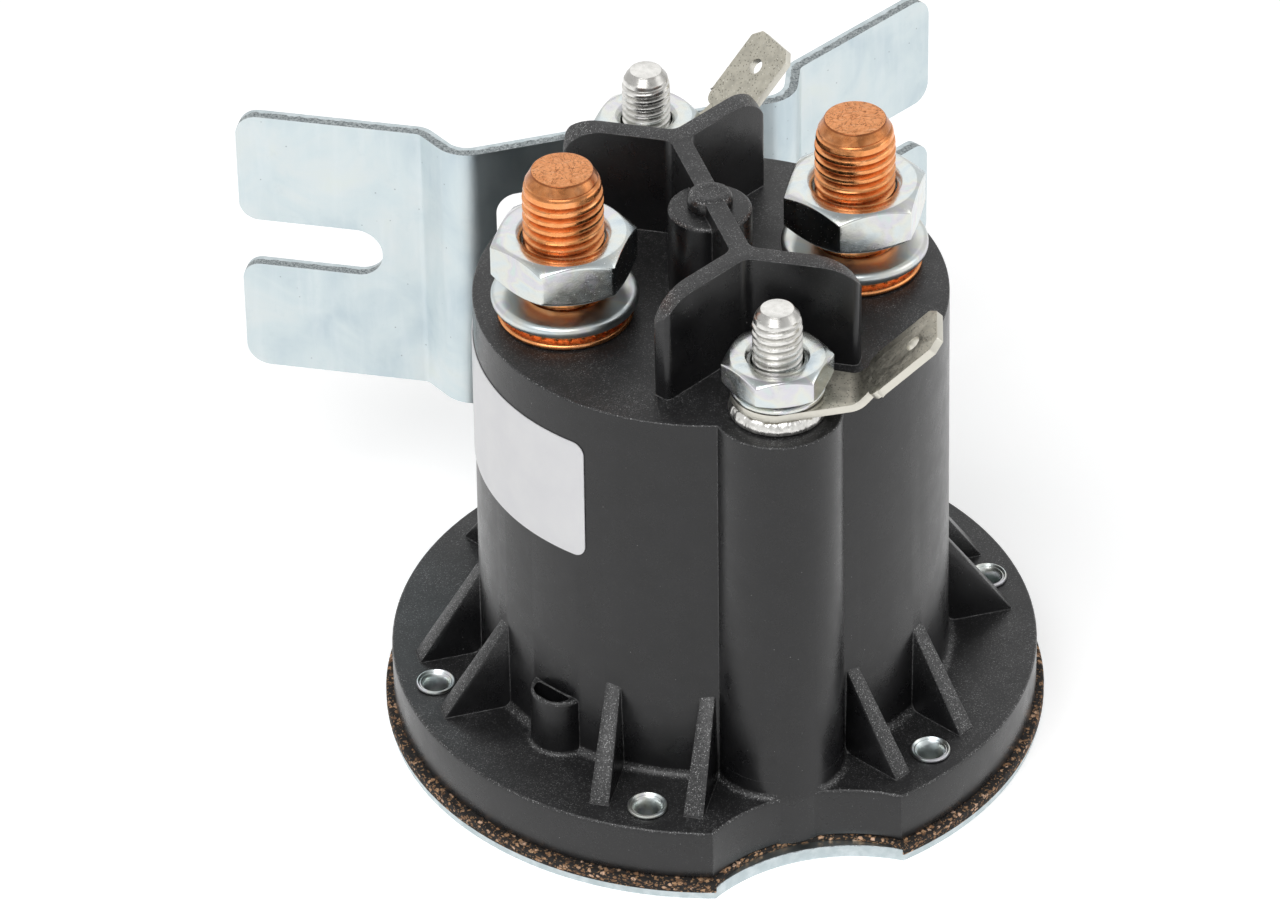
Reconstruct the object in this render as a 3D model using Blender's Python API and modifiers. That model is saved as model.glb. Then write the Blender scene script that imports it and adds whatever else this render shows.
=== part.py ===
"""Intermittent-duty starter relay: a moulded housing on a folded steel base bracket.

Frame: X runs along the two power studs, -Y is the front (the front coil stud), +Y is the
bracket side, Z is up. The origin is on the housing axis at the underside of the base plate.
"""

import math

import bmesh
import bpy
from mathutils import Matrix, Vector

MM = 0.001
ARC_STEP = math.radians(22.5)

# Round outlines that follow one another
FLANGE_RADIUS = 32.73 * MM
PLATE_RADIUS = FLANGE_RADIUS + 0.67 * MM
GASKET_RADIUS = FLANGE_RADIUS + 0.82 * MM
EYELET_CIRCLE = FLANGE_RADIUS - 3.45 * MM
SCALLOP_FLOOR = FLANGE_RADIUS - 4.73 * MM
PLATE_SCALLOP_FLOOR = PLATE_RADIUS - 4.4 * MM
NOTCH_HALF_WIDTH = 9.73 * MM

# Base bracket: a flat blank, punched and then folded
SHEET = 1.4 * MM
TONGUE_HALF_WIDTH = NOTCH_HALF_WIDTH - 1.93 * MM
TONGUE_RELIEF = 0.5 * MM
TONGUE_BEND = 1.0 * MM
PANEL_FRONT = SCALLOP_FLOOR + 1.4 * MM
PANEL_HALF_WIDTH = 16.6 * MM
PANEL_TOP = 50.1 * MM
PANEL_BOTTOM = 19.4 * MM
PANEL_FILLET = 9.0 * MM
JOGGLE_BEND = 0.8 * MM
JOGGLE_ANGLE = math.radians(68.0)
JOGGLE_LENGTH = 4.1 * MM
EAR_ANGLE = math.radians(28.5)
EAR_LENGTH = 19.0 * MM
EAR_CORNER = 2.4 * MM
LUG_CORNER = 2.0 * MM
SLOT_WIDTH = 5.5 * MM
SLOT_DEPTH = 15.0 * MM
WINDOW_HALF_WIDTH = PANEL_HALF_WIDTH - 2.8 * MM
WINDOW_BOTTOM = PANEL_BOTTOM + 11.6 * MM
WINDOW_TOP = PANEL_TOP - 5.5 * MM
WINDOW_CORNER = 2.0 * MM

# Gasket
STACK_GAP = 0.1 * MM
GASKET = 1.4 * MM

# Housing
FLANGE = 4.63 * MM
FLANGE_EDGE = 0.9 * MM
BODY_RADIUS = 23.39 * MM
BODY_HEIGHT = 42.41 * MM
DRAFT = 0.0085
BODY_EDGE = 0.4 * MM
BODY_FOOT = 1.0 * MM
WALL = 1.95 * MM
WALL_BORE = BODY_RADIUS - WALL
CHAMBER_BORE = WALL_BORE - 0.5 * MM
GASKET_BORE = WALL_BORE + 0.6 * MM
ROOF = 3.1 * MM
BOSS_RADIUS = 6.3 * MM
BOSS_FOOT_RADIUS = BOSS_RADIUS + 0.25 * MM
CHANNEL_RADIUS = BOSS_RADIUS - 2.0 * MM
CHANNEL_ROOF = 4.6 * MM
RIB_OFFSET = 4.75 * MM
RIB_THICKNESS = 2.0 * MM
RIB_CREST = 1.5 * MM
RIB_REACH = EYELET_CIRCLE + 0.02 * MM
RIB_HEIGHT = 9.8 * MM
RIB_TOE = 0.4 * MM
POCKET_ANGLE = math.radians(-148.5)
POCKET_PLACE = BODY_RADIUS - 0.45 * MM
POCKET_RADIUS = 3.0 * MM
POCKET_HEIGHT = 6.4 * MM
POCKET_RECESS = POCKET_RADIUS - 1.4 * MM
POCKET_DEPTH = 2.6 * MM

# Barrier walls and hub on the roof
BARRIER_TOP = 11.0 * MM
BARRIER_WALL = 2.0 * MM
BARRIER_FORK = 10.6 * MM
BARRIER_BRANCH = 11.6 * MM
BARRIER_ANGLE = math.radians(30.0)
BARRIER_CORNER = 4.0 * MM
BARRIER_EDGE = 0.45 * MM
FORK_FILLET = 1.2 * MM
HUB_RADIUS = 4.13 * MM
HUB_HEIGHT = BARRIER_TOP - 1.5 * MM
GATE_RADIUS = 1.95 * MM
GATE_DISH_RADIUS = 1.1 * MM
GATE_THICKNESS = 1.05 * MM
GATE_PROUD = 0.1 * MM
GATE_DISH = 0.3 * MM

# Eyelets that clamp flange, gasket and plate
EYELET_COUNT = 6
EYELET_BARREL = 1.5 * MM
EYELET_BORE = 1.2 * MM
EYELET_RIM = 1.95 * MM
EYELET_ROLL = 0.42 * MM
EYELET_HEAD = 2.2 * MM
EYELET_HEAD_THICKNESS = 0.4 * MM
EYELET_CLEARANCE = 0.15 * MM

# Label
LABEL_BOTTOM = 32.0 * MM
LABEL_TOP = LABEL_BOTTOM + 13.35 * MM
LABEL_RIGHT = math.radians(-138.5)
LABEL_LENGTH = 36.0 * MM
LABEL_CORNER = 1.3 * MM
LABEL_THICKNESS = 0.12 * MM
LABEL_GAP = 0.03 * MM

# Power studs, 5/16-24 copper
POWER_SPACING = 29.6 * MM
POWER_THREAD = 7.93 * MM
POWER_LEAD = 2.0 * MM
POWER_TIP = 6.1 * MM
POWER_TOP = 16.76 * MM
POWER_COLLAR = 6.5 * MM
POWER_COLLAR_THICKNESS = 0.85 * MM
POWER_KNURL = 6.0 * MM
POWER_KNURL_THICKNESS = 0.6 * MM
POWER_SHANK = 4.9 * MM
POWER_HEAD = 5.9 * MM
POWER_HEAD_THICKNESS = 3.3 * MM
POWER_WASHER_RADIUS = 7.25 * MM
POWER_WASHER_THICKNESS = 1.35 * MM
POWER_NUT_FLATS = 12.7 * MM
POWER_NUT_THICKNESS = 4.6 * MM
POWER_NUT_TOP = 9.6 * MM
LEFT_NUT_TURN = math.radians(26.0)
RIGHT_NUT_TURN = math.radians(30.0)

# Coil studs, number 10-32
COIL_PLACE = BODY_RADIUS - 1.59 * MM
COIL_THREAD = 4.83 * MM
COIL_LEAD = 1.3 * MM
COIL_TIP = 3.2 * MM
COIL_TOP = 11.83 * MM
COIL_COLLAR = 4.75 * MM
COIL_COLLAR_TOP = 4.1 * MM
COIL_COLLAR_THICKNESS = 1.5 * MM
COIL_HEAD = 3.5 * MM
COIL_HEAD_THICKNESS = 1.8 * MM
COIL_NUT_FLATS = 9.53 * MM
COIL_NUT_THICKNESS = 3.05 * MM
COIL_NUT_TURN = math.radians(21.0)
LOCK_WASHER_RADIUS = 4.6 * MM
LOCK_WASHER_THICKNESS = 0.55 * MM
LOCK_WASHER_CONE = 0.2 * MM

# Quarter-inch spade tabs under the coil nuts
TAB_SHEET = 0.8 * MM
TAB_RING = 4.5 * MM
TAB_BLADE = 6.35 * MM
TAB_FLAT = 6.9 * MM
TAB_BEND = 1.5 * MM
TAB_ANGLE = math.radians(45.0)
TAB_SHOULDER = 10.7 * MM
TAB_TIP = 18.5 * MM
TAB_TIP_CHAMFER = 1.0 * MM
TAB_HOLE = 1.65 * MM
TAB_HOLE_INSET = 3.2 * MM
FRONT_TAB_TURN = math.radians(-18.0)
REAR_TAB_TURN = math.radians(14.5)

# Clearances between metal pieces
SEAT_GAP = 0.1 * MM
THREAD_GAP = 0.2 * MM
RUNNING_GAP = 0.25 * MM

# Magnetic frame and coil, inside
YOKE_RADIUS = WALL_BORE - 1.0 * MM
YOKE_WALL = 1.5 * MM
YOKE_FLOOR = 1.8 * MM
YOKE_HEIGHT = 27.6 * MM
FLUX_PLATE_RADIUS = WALL_BORE - 0.2 * MM
FLUX_PLATE = 2.4 * MM
LEAD_NOTCH = 4.0 * MM
BOBBIN_FLANGE = 18.4 * MM
BOBBIN_FLANGE_THICKNESS = 1.3 * MM
BOBBIN_BORE = 7.0 * MM
BOBBIN_TUBE = 1.1 * MM
WINDING_RADIUS = 16.9 * MM
SLEEVE_WALL = 0.35 * MM
LEAD_RADIUS = 0.6 * MM
LEAD_START = COIL_PLACE - 6.4 * MM

# Armature and contacts, inside
PLUNGER_RADIUS = 6.2 * MM
PLUNGER_BOTTOM = 1.0 * MM
PLUNGER_LENGTH = 12.2 * MM
PLUNGER_TRAVEL = 3.2 * MM
SHIM_GAP = 0.1 * MM
ROD_RADIUS = 1.5 * MM
ROD_SEAT = 5.0 * MM
CLIP_RADIUS = 3.6 * MM
CLIP_THICKNESS = 0.8 * MM
SPRING_POCKET_RADIUS = 4.2 * MM
SPRING_POCKET_DEPTH = 5.0 * MM
RETURN_COIL_RADIUS = 3.3 * MM
RETURN_WIRE = 0.35 * MM
RETURN_TURNS = 4
CONTACT_COIL_RADIUS = 3.6 * MM
CONTACT_WIRE = 0.3 * MM
CONTACT_TURNS = 2
CONTACT_DISC_RADIUS = CHAMBER_BORE - 2.7 * MM
CONTACT_DISC = 1.8 * MM
CONTACT_TRAVEL = 2.4 * MM
BUSH_FLANGE = 5.4 * MM
BUSH_FLANGE_THICKNESS = 1.0 * MM
BUSH_SLEEVE = 3.0 * MM
BUSH_PROUD = 0.7 * MM
BUMPER_RADIUS = 5.0 * MM
BUMPER_BORE = 2.0 * MM
BUMPER = 0.7 * MM

# Finishes: colour, roughness, metallic
ZINC = ((0.72, 0.78, 0.80), 0.25, 1.0)
BRIGHT_ZINC = ((0.80, 0.83, 0.84), 0.18, 1.0)
MOULDING = ((0.025, 0.025, 0.027), 0.45, 0.0)
CORK = ((0.10, 0.065, 0.04), 0.9, 0.0)
PAPER = ((0.86, 0.86, 0.87), 0.45, 0.0)
COPPER = ((0.85, 0.38, 0.18), 0.25, 1.0)
TIN = ((0.78, 0.76, 0.71), 0.3, 1.0)
TAB_TIN = ((0.50, 0.48, 0.43), 0.4, 1.0)
STEEL = ((0.45, 0.46, 0.48), 0.4, 1.0)
SPRING_STEEL = ((0.60, 0.61, 0.63), 0.3, 1.0)
BRASS = ((0.75, 0.60, 0.28), 0.3, 1.0)
NYLON = ((0.75, 0.72, 0.62), 0.5, 0.0)
ENAMEL = ((0.45, 0.17, 0.06), 0.35, 1.0)
RUBBER = ((0.03, 0.03, 0.03), 0.8, 0.0)

# Heights that follow from the stack
GASKET_BOTTOM = SHEET + STACK_GAP
FLANGE_BOTTOM = GASKET_BOTTOM + GASKET + STACK_GAP
FLANGE_TOP = FLANGE_BOTTOM + FLANGE
ROOF_TOP = FLANGE_TOP + BODY_HEIGHT
CEILING = ROOF_TOP - ROOF
FOOT_RADIUS = BODY_RADIUS + DRAFT * BODY_HEIGHT
BARRIER_CREST = ROOF_TOP + BARRIER_TOP
YOKE_BOTTOM = SHEET + STACK_GAP
FLUX_BOTTOM = YOKE_BOTTOM + YOKE_HEIGHT + STACK_GAP
FLUX_TOP = FLUX_BOTTOM + FLUX_PLATE
BOBBIN_BOTTOM = YOKE_BOTTOM + YOKE_FLOOR + STACK_GAP
BOBBIN_TOP = FLUX_BOTTOM - STACK_GAP
SLEEVE_RADIUS = BOBBIN_BORE - RUNNING_GAP / 2
POLE_FACE = BOBBIN_BOTTOM + PLUNGER_BOTTOM + PLUNGER_LENGTH + PLUNGER_TRAVEL + SHIM_GAP
HEAD_FACE = CEILING - SEAT_GAP - POWER_HEAD_THICKNESS
DISC_TOP = HEAD_FACE - SHIM_GAP - CONTACT_TRAVEL
DISC_BOTTOM = DISC_TOP - CONTACT_DISC
BUSH_BOTTOM = DISC_BOTTOM - SEAT_GAP - BUSH_FLANGE_THICKNESS
BUSH_TOP = DISC_TOP + BUSH_PROUD
ROD_TOP = BUSH_TOP + SEAT_GAP + CLIP_THICKNESS + 0.3 * MM
LOWER_CLIP = FLUX_TOP + 1.4 * MM
COLLAR_BOTTOM = ROOF_TOP + SEAT_GAP
KNURL_BOTTOM = COLLAR_BOTTOM + POWER_COLLAR_THICKNESS
WASHER_BOTTOM = KNURL_BOTTOM + POWER_KNURL_THICKNESS + SEAT_GAP
TAB_BOTTOM = COLLAR_BOTTOM + COIL_COLLAR_THICKNESS + SEAT_GAP
LOCK_WASHER_BOTTOM = TAB_BOTTOM + TAB_SHEET + SEAT_GAP
COIL_NUT_BOTTOM = LOCK_WASHER_BOTTOM + LOCK_WASHER_THICKNESS + LOCK_WASHER_CONE + SEAT_GAP

PARTS = None
HELPERS = None


def material(name, finish):
    """A material of the object's own, from a finish of (colour, roughness, metallic)."""
    colour, roughness, metallic = finish
    own = bpy.data.materials.new(name)
    own.use_nodes = True
    shader = own.node_tree.nodes["Principled BSDF"]
    shader.inputs["Base Color"].default_value = (*colour, 1.0)
    shader.inputs["Roughness"].default_value = roughness
    shader.inputs["Metallic"].default_value = metallic
    own.diffuse_color = (*colour, 1.0)
    return own


def place(name, mesh, finish=None, at=(0.0, 0.0, 0.0)):
    """An object of the part, or a helper shape where it has no finish of its own."""
    thing = bpy.data.objects.new(name, mesh)
    thing.location = at
    if finish is None:
        thing.hide_render = True
        thing.display_type = "WIRE"
        HELPERS.objects.link(thing)
    else:
        mesh.materials.append(material(name, finish))
        PARTS.objects.link(thing)
    return thing


def combine(target, helper, operation):
    joint = target.modifiers.new(helper.name, "BOOLEAN")
    joint.object = helper
    joint.operation = operation
    joint.solver = "EXACT"


def evaluated_mesh(thing):
    """The object's mesh with its modifiers worked in, in place of the object."""
    bpy.context.view_layer.update()
    graph = bpy.context.evaluated_depsgraph_get()
    mesh = bpy.data.meshes.new_from_object(thing.evaluated_get(graph))
    mesh.transform(thing.matrix_world)
    bpy.data.objects.remove(thing)
    return mesh


def edit(mesh, change):
    work = bmesh.new()
    work.from_mesh(mesh)
    change(work)
    work.to_mesh(mesh)
    work.free()
    return mesh


def weld(work):
    bmesh.ops.remove_doubles(work, verts=work.verts[:], dist=0.002 * MM)
    bmesh.ops.recalc_face_normals(work, faces=work.faces[:])


def arc(centre, radius, first, last, step=ARC_STEP):
    """Points on an arc, its angles in radians, both ends included."""
    count = max(2, math.ceil(abs(last - first) / step))
    angles = [first + (last - first) * k / count for k in range(count + 1)]
    return [Vector(centre) + radius * Vector((math.cos(a), math.sin(a))) for a in angles]


def circle(radius, count, centre=(0.0, 0.0)):
    return arc(centre, radius, 0.0, math.tau * (1 - 1 / count), math.tau / count)


def rounded(corners):
    """A closed outline whose corners, each (x, y, radius), become arcs."""
    outline = []
    for i, (x, y, radius) in enumerate(corners):
        corner = Vector((x, y))
        if radius <= 0:
            outline.append(corner)
            continue
        before = (Vector(corners[i - 1][:2]) - corner).normalized()
        after = (Vector(corners[(i + 1) % len(corners)][:2]) - corner).normalized()
        half = before.angle(after) / 2
        centre = corner + (before + after).normalized() * radius / math.sin(half)
        start = corner + before * radius / math.tan(half) - centre
        end = corner + after * radius / math.tan(half) - centre
        turn = math.atan2(start.x * end.y - start.y * end.x, start.dot(end))
        first = math.atan2(start.y, start.x)
        outline += arc(centre, radius, first, first + turn)
    return outline


def sheet(name, outlines, low, high):
    """A mesh of flat outlines, the first outside and the rest holes, between two heights."""
    curve = bpy.data.curves.new(name, "CURVE")
    curve.dimensions = "2D"
    curve.fill_mode = "BOTH"
    curve.extrude = (high - low) / 2
    for outline in outlines:
        spline = curve.splines.new("POLY")
        spline.points.add(len(outline) - 1)
        for point, spot in zip(spline.points, outline):
            point.co = (spot[0], spot[1], 0.0, 1.0)
        spline.use_cyclic_u = True
    holder = bpy.data.objects.new(name, curve)
    holder.location.z = (low + high) / 2
    HELPERS.objects.link(holder)
    mesh = evaluated_mesh(holder)
    bpy.data.curves.remove(curve)
    return edit(mesh, weld)


def turned(name, profile, steps, finish=None, at=(0.0, 0.0, 0.0), closed=False):
    """A profile of (radius, height) points, top to bottom outside, turned about Z."""
    mesh = bpy.data.meshes.new(name)
    edges = [(i, i + 1) for i in range(len(profile) - 1)]
    if closed:
        edges.append((len(profile) - 1, 0))
    mesh.from_pydata([(r, 0.0, z) for r, z in profile], edges, [])
    thing = place(name, mesh, finish, at)
    screw = thing.modifiers.new("turn", "SCREW")
    screw.angle = math.tau
    screw.steps = steps
    screw.render_steps = steps
    screw.use_merge_vertices = True
    screw.merge_threshold = 0.001 * MM
    screw.use_smooth_shade = True
    return thing


def ring(name, outer, inner, low, high, steps, finish=None, at=(0.0, 0.0, 0.0)):
    profile = [(inner, high), (outer, high), (outer, low), (inner, low)]
    return turned(name, profile, steps, finish, at, closed=True)


def pin(name, radius, low, high, steps, at=(0.0, 0.0, 0.0)):
    return turned(name, [(0.0, high), (radius, high), (radius, low), (0.0, low)], steps, None, at)


def repeated(name, mesh, turns):
    """One mesh that holds a copy of a mesh for each matrix."""
    work = bmesh.new()
    for turn in turns:
        copy = mesh.copy()
        copy.transform(turn)
        work.from_mesh(copy)
        bpy.data.meshes.remove(copy)
    whole = bpy.data.meshes.new(name)
    work.to_mesh(whole)
    work.free()
    bpy.data.meshes.remove(mesh)
    return whole


def eyelet_angles():
    return [math.tau * k / EYELET_COUNT for k in range(EYELET_COUNT)]


def around_eyelets(name, mesh):
    """A mesh made on the +X axis, repeated round the eyelet circle."""
    return repeated(name, mesh, [Matrix.Rotation(a, 4, "Z") for a in eyelet_angles()])


def fold(mesh, axis, start, bend_radius, angle, up, segments, chosen=lambda co: True):
    """Folds a flat sheet along its X, on both sides alike, or its Y."""
    middle = SHEET / 2 if mesh.name.startswith("base") else TAB_SHEET / 2
    radius = bend_radius + middle
    sides = (1, -1) if axis == "X" else (1,)
    which = "XYZ".index(axis)

    def change(work):
        for side in sides:
            for k in range(segments + 1):
                normal = Vector((0.0, 0.0, 0.0))
                normal[which] = 1.0
                station = normal * side * (start + radius * angle * k / segments)
                geometry = work.verts[:] + work.edges[:] + work.faces[:]
                bmesh.ops.bisect_plane(
                    work, geom=geometry, dist=0.0005 * MM, plane_co=station, plane_no=normal
                )
        for vertex in work.verts:
            co = vertex.co
            along = abs(co[which]) - start
            if along <= 0 or not chosen(co) or (axis == "Y" and co.y < 0):
                continue
            side = math.copysign(1.0, co[which])
            turn = min(along / radius, angle)
            rest = along - radius * turn
            height = co.z - middle
            reach = radius * math.sin(turn) + rest * math.cos(turn)
            rise = radius * (1 - math.cos(turn)) + rest * math.sin(turn)
            co[which] = side * (start + reach - up * height * math.sin(turn))
            co.z = middle + up * rise + height * math.cos(turn)

    return edit(mesh, change)


def bracket_outline():
    """The flat blank: the round plate, its tongue and the panel with both slotted ears."""
    bend_start = PANEL_FRONT - TONGUE_BEND
    bend_length = math.pi / 2 * (TONGUE_BEND + SHEET / 2)
    lift = bend_start + bend_length - SHEET - TONGUE_BEND
    ear_end = (
        PANEL_HALF_WIDTH
        + JOGGLE_ANGLE * (JOGGLE_BEND + SHEET / 2)
        + JOGGLE_LENGTH
        + (JOGGLE_ANGLE - EAR_ANGLE) * (JOGGLE_BEND + SHEET / 2)
        + EAR_LENGTH
    )
    middle = (PANEL_TOP + PANEL_BOTTOM) / 2
    low, high = middle - SLOT_WIDTH / 2, middle + SLOT_WIDTH / 2
    rim = math.sqrt(PLATE_RADIUS**2 - NOTCH_HALF_WIDTH**2)
    relief = bend_start - TONGUE_RELIEF
    relief_round = (NOTCH_HALF_WIDTH - TONGUE_HALF_WIDTH) * 0.45
    right = rounded(
        [
            (NOTCH_HALF_WIDTH, rim, 0.0),
            (NOTCH_HALF_WIDTH, relief, relief_round),
            (TONGUE_HALF_WIDTH, relief, relief_round),
            (TONGUE_HALF_WIDTH, PANEL_BOTTOM + lift, PANEL_FILLET),
            (ear_end, PANEL_BOTTOM + lift, EAR_CORNER),
            (ear_end, low + lift, LUG_CORNER),
            (ear_end - SLOT_DEPTH, low + lift, SLOT_WIDTH * 0.499),
            (ear_end - SLOT_DEPTH, high + lift, SLOT_WIDTH * 0.499),
            (ear_end, high + lift, LUG_CORNER),
            (ear_end, PANEL_TOP + lift, EAR_CORNER),
            (0.0, PANEL_TOP + lift, 0.0),
        ]
    )[:-1]
    left = [Vector((-p.x, p.y)) for p in reversed(right)]
    rear = math.atan2(rim, NOTCH_HALF_WIDTH)
    front = math.asin(NOTCH_HALF_WIDTH / PLATE_RADIUS) - math.pi / 2
    step = math.radians(5.0)
    left_rim = arc((0, 0), PLATE_RADIUS, math.pi - rear, math.pi - front, step)
    right_rim = arc((0, 0), PLATE_RADIUS, front, rear, step)
    scallop = scallop_arc(PLATE_RADIUS, PLATE_SCALLOP_FLOOR)
    outline = right + left + left_rim[1:] + scallop[1:-1] + right_rim[:-1]
    window = rounded(
        [
            (-WINDOW_HALF_WIDTH, WINDOW_BOTTOM + lift, WINDOW_CORNER),
            (WINDOW_HALF_WIDTH, WINDOW_BOTTOM + lift, WINDOW_CORNER),
            (WINDOW_HALF_WIDTH, WINDOW_TOP + lift, WINDOW_CORNER),
            (-WINDOW_HALF_WIDTH, WINDOW_TOP + lift, WINDOW_CORNER),
        ]
    )
    return outline, window


def scallop_arc(rim_radius, floor):
    """The front scallop from its left corner to its right one."""
    corner = -math.sqrt(rim_radius**2 - NOTCH_HALF_WIDTH**2)
    depth = -floor - corner
    radius = (NOTCH_HALF_WIDTH**2 + depth**2) / (2 * depth)
    centre = -floor - radius
    half = math.asin(NOTCH_HALF_WIDTH / radius)
    upright = math.pi / 2
    return arc((0.0, centre), radius, upright + half, upright - half, math.radians(6.0))


def base_bracket(finish):
    outline, window = bracket_outline()
    mesh = sheet("base_bracket", [outline, window], 0.0, SHEET)
    joggle_radius = JOGGLE_BEND + SHEET / 2
    outer_fold = PANEL_HALF_WIDTH + JOGGLE_ANGLE * joggle_radius + JOGGLE_LENGTH
    beyond_plate = PLATE_RADIUS + 1.0 * MM

    def on_panel(co):
        return co.y > beyond_plate

    def on_tongue(co):
        return abs(co.x) < TONGUE_HALF_WIDTH + 0.1 * MM or on_panel(co)

    fold(mesh, "X", outer_fold, JOGGLE_BEND, JOGGLE_ANGLE - EAR_ANGLE, 1, 3, on_panel)
    fold(mesh, "X", PANEL_HALF_WIDTH, JOGGLE_BEND, JOGGLE_ANGLE, -1, 4, on_panel)
    fold(mesh, "Y", PANEL_FRONT - TONGUE_BEND, TONGUE_BEND, math.pi / 2, 1, 6, on_tongue)
    bracket = place("base_bracket", mesh, finish)
    bore = EYELET_BARREL + EYELET_CLEARANCE
    head = EYELET_HEAD + EYELET_CLEARANCE
    recess = EYELET_HEAD_THICKNESS + 2 * EYELET_CLEARANCE
    profile = [(0, 2 * SHEET), (bore, 2 * SHEET), (bore, recess), (head, recess), (head, -SHEET)]
    stepped = turned("plate_bore", profile + [(0, -SHEET)], 16, None, (EYELET_CIRCLE, 0, 0))
    bores = around_eyelets("plate_bores", evaluated_mesh(stepped))
    combine(bracket, place("plate_bores", bores), "DIFFERENCE")


def notched_disc(name, radius, low, high, bore=None):
    """A disc with the front scallop and, behind, the square notch for the tongue."""
    rim = math.sqrt(radius**2 - NOTCH_HALF_WIDTH**2)
    front = math.asin(NOTCH_HALF_WIDTH / radius) - math.pi / 2
    rear = math.atan2(rim, NOTCH_HALF_WIDTH)
    step = math.radians(5.0)
    notch = rounded(
        [
            (NOTCH_HALF_WIDTH, rim, 0.0),
            (NOTCH_HALF_WIDTH, SCALLOP_FLOOR, 2.0 * MM),
            (-NOTCH_HALF_WIDTH, SCALLOP_FLOOR, 2.0 * MM),
            (-NOTCH_HALF_WIDTH, rim, 0.0),
        ]
    )
    outline = arc((0, 0), radius, front, rear, step)[:-1] + notch
    outline += arc((0, 0), radius, math.pi - rear, math.pi - front, step)[1:]
    outline += scallop_arc(radius, SCALLOP_FLOOR)[1:-1]
    holes = [circle(bore, 48)] if bore else []
    return sheet(name, [outline] + holes, low, high)


def eyelet_bores(name, low, high):
    bore = pin(name, EYELET_BARREL + EYELET_CLEARANCE, low, high, 16, (EYELET_CIRCLE, 0, 0))
    return place(name, around_eyelets(name, evaluated_mesh(bore)))


def base_gasket(finish):
    top = GASKET_BOTTOM + GASKET
    mesh = notched_disc("base_gasket", GASKET_RADIUS, GASKET_BOTTOM, top, GASKET_BORE)
    gasket = place("base_gasket", mesh, finish)
    combine(gasket, eyelet_bores("gasket_bores", 0.0, 2 * top), "DIFFERENCE")


def flange_edge_helper():
    """Keeps what is under the flange's rounded upper edge, and all of the body above it."""
    edge = arc((FLANGE_RADIUS - FLANGE_EDGE, FLANGE_TOP - FLANGE_EDGE), FLANGE_EDGE,
               math.pi / 2, 0.0)
    profile = [(0.0, FLANGE_TOP)] + [tuple(p) for p in edge]
    below = FLANGE_BOTTOM - 2 * MM
    return turned("flange_edge", profile + [(FLANGE_RADIUS, below), (0.0, below)], 72)


def wall_profile():
    """The body's outer profile from the roof's middle down into the flange."""
    top_edge = arc((BODY_RADIUS - BODY_EDGE, ROOF_TOP - BODY_EDGE), BODY_EDGE,
                   math.pi / 2, 0.0, math.radians(45))
    foot = arc((FOOT_RADIUS + BODY_FOOT, FLANGE_TOP + BODY_FOOT), BODY_FOOT,
               math.pi, math.pi * 1.5, math.radians(30))
    buried = FLANGE_TOP - FLANGE / 2
    profile = [(0.0, ROOF_TOP)] + [tuple(p) for p in top_edge] + [tuple(p) for p in foot]
    return profile + [(FOOT_RADIUS + BODY_FOOT, buried), (0.0, buried)]


def coil_sides():
    return (("front", -1), ("rear", 1))


def power_sides():
    return (("left", -1), ("right", 1))


def rib_mesh():
    """One gusset beside the +X axis, tapering to its crest, from the body to its toe."""
    buried = BODY_RADIUS - 2.5 * MM
    low = FLANGE_TOP - 1.0 * MM
    slope_end = RIB_TOE + FLANGE_TOP
    wall = math.sqrt(FOOT_RADIUS**2 - RIB_OFFSET**2)
    outline = [
        (buried, low),
        (RIB_REACH, low),
        (RIB_REACH, slope_end),
        (wall, FLANGE_TOP + RIB_HEIGHT),
        (buried, FLANGE_TOP + RIB_HEIGHT + 0.6 * (wall - buried)),
    ]
    mesh = sheet("rib", [outline], -RIB_THICKNESS / 2, RIB_THICKNESS / 2)
    mesh.transform(Matrix.Rotation(math.pi / 2, 4, "X"))
    taper = (RIB_THICKNESS - RIB_CREST) / (2 * RIB_HEIGHT)

    def draft(work):
        for vertex in work.verts:
            rise = max(0.0, vertex.co.z - FLANGE_TOP)
            vertex.co.y -= math.copysign(taper * rise, vertex.co.y)

    return edit(mesh, draft)


def ribs():
    turns = []
    for angle in eyelet_angles():
        for side in (-1, 1):
            turns.append(Matrix.Rotation(angle, 4, "Z") @ Matrix.Translation((0, side * RIB_OFFSET, 0)))
    return place("ribs", repeated("ribs", rib_mesh(), turns))


def pocket():
    """The small half-round boss on the flange, with a recess in its top."""
    low, high = FLANGE_TOP - 1.0 * MM, FLANGE_TOP + POCKET_HEIGHT
    centre = Matrix.Rotation(POCKET_ANGLE, 4, "Z") @ Matrix.Translation((POCKET_PLACE, 0, 0))
    outer = sheet("pocket", [circle(POCKET_RADIUS, 20)], low, high)
    outer.transform(centre)
    floor = high - POCKET_DEPTH
    recess = sheet("pocket_recess", [circle(POCKET_RECESS, 16)], floor, high + 1.0 * MM)
    recess.transform(centre @ Matrix.Translation((POCKET_RADIUS - POCKET_RECESS - 0.8 * MM, 0, 0)))
    return place("pocket", outer), place("pocket_recess", recess)


def barrier_plan():
    """The double fork of the barrier walls, seen from above."""
    half = BARRIER_WALL / 2
    cos, sin = math.cos(BARRIER_ANGLE), math.sin(BARRIER_ANGLE)
    tip = Vector((BARRIER_BRANCH * cos, BARRIER_FORK + BARRIER_BRANCH * sin))
    inner = BARRIER_FORK - half / cos + half * math.tan(BARRIER_ANGLE)
    outer = BARRIER_FORK + half / cos
    quarter = [
        (half, inner, FORK_FILLET),
        (tip.x + half * sin, tip.y - half * cos, 0.0),
        (tip.x - half * sin, tip.y + half * cos, 0.0),
    ]
    mirrored = [(-x, y, r) for x, y, r in reversed(quarter)]
    rear = quarter + [(0.0, outer, FORK_FILLET)] + mirrored
    front = [(-x, -y, r) for x, y, r in rear]
    return rounded(rear + front)


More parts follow.
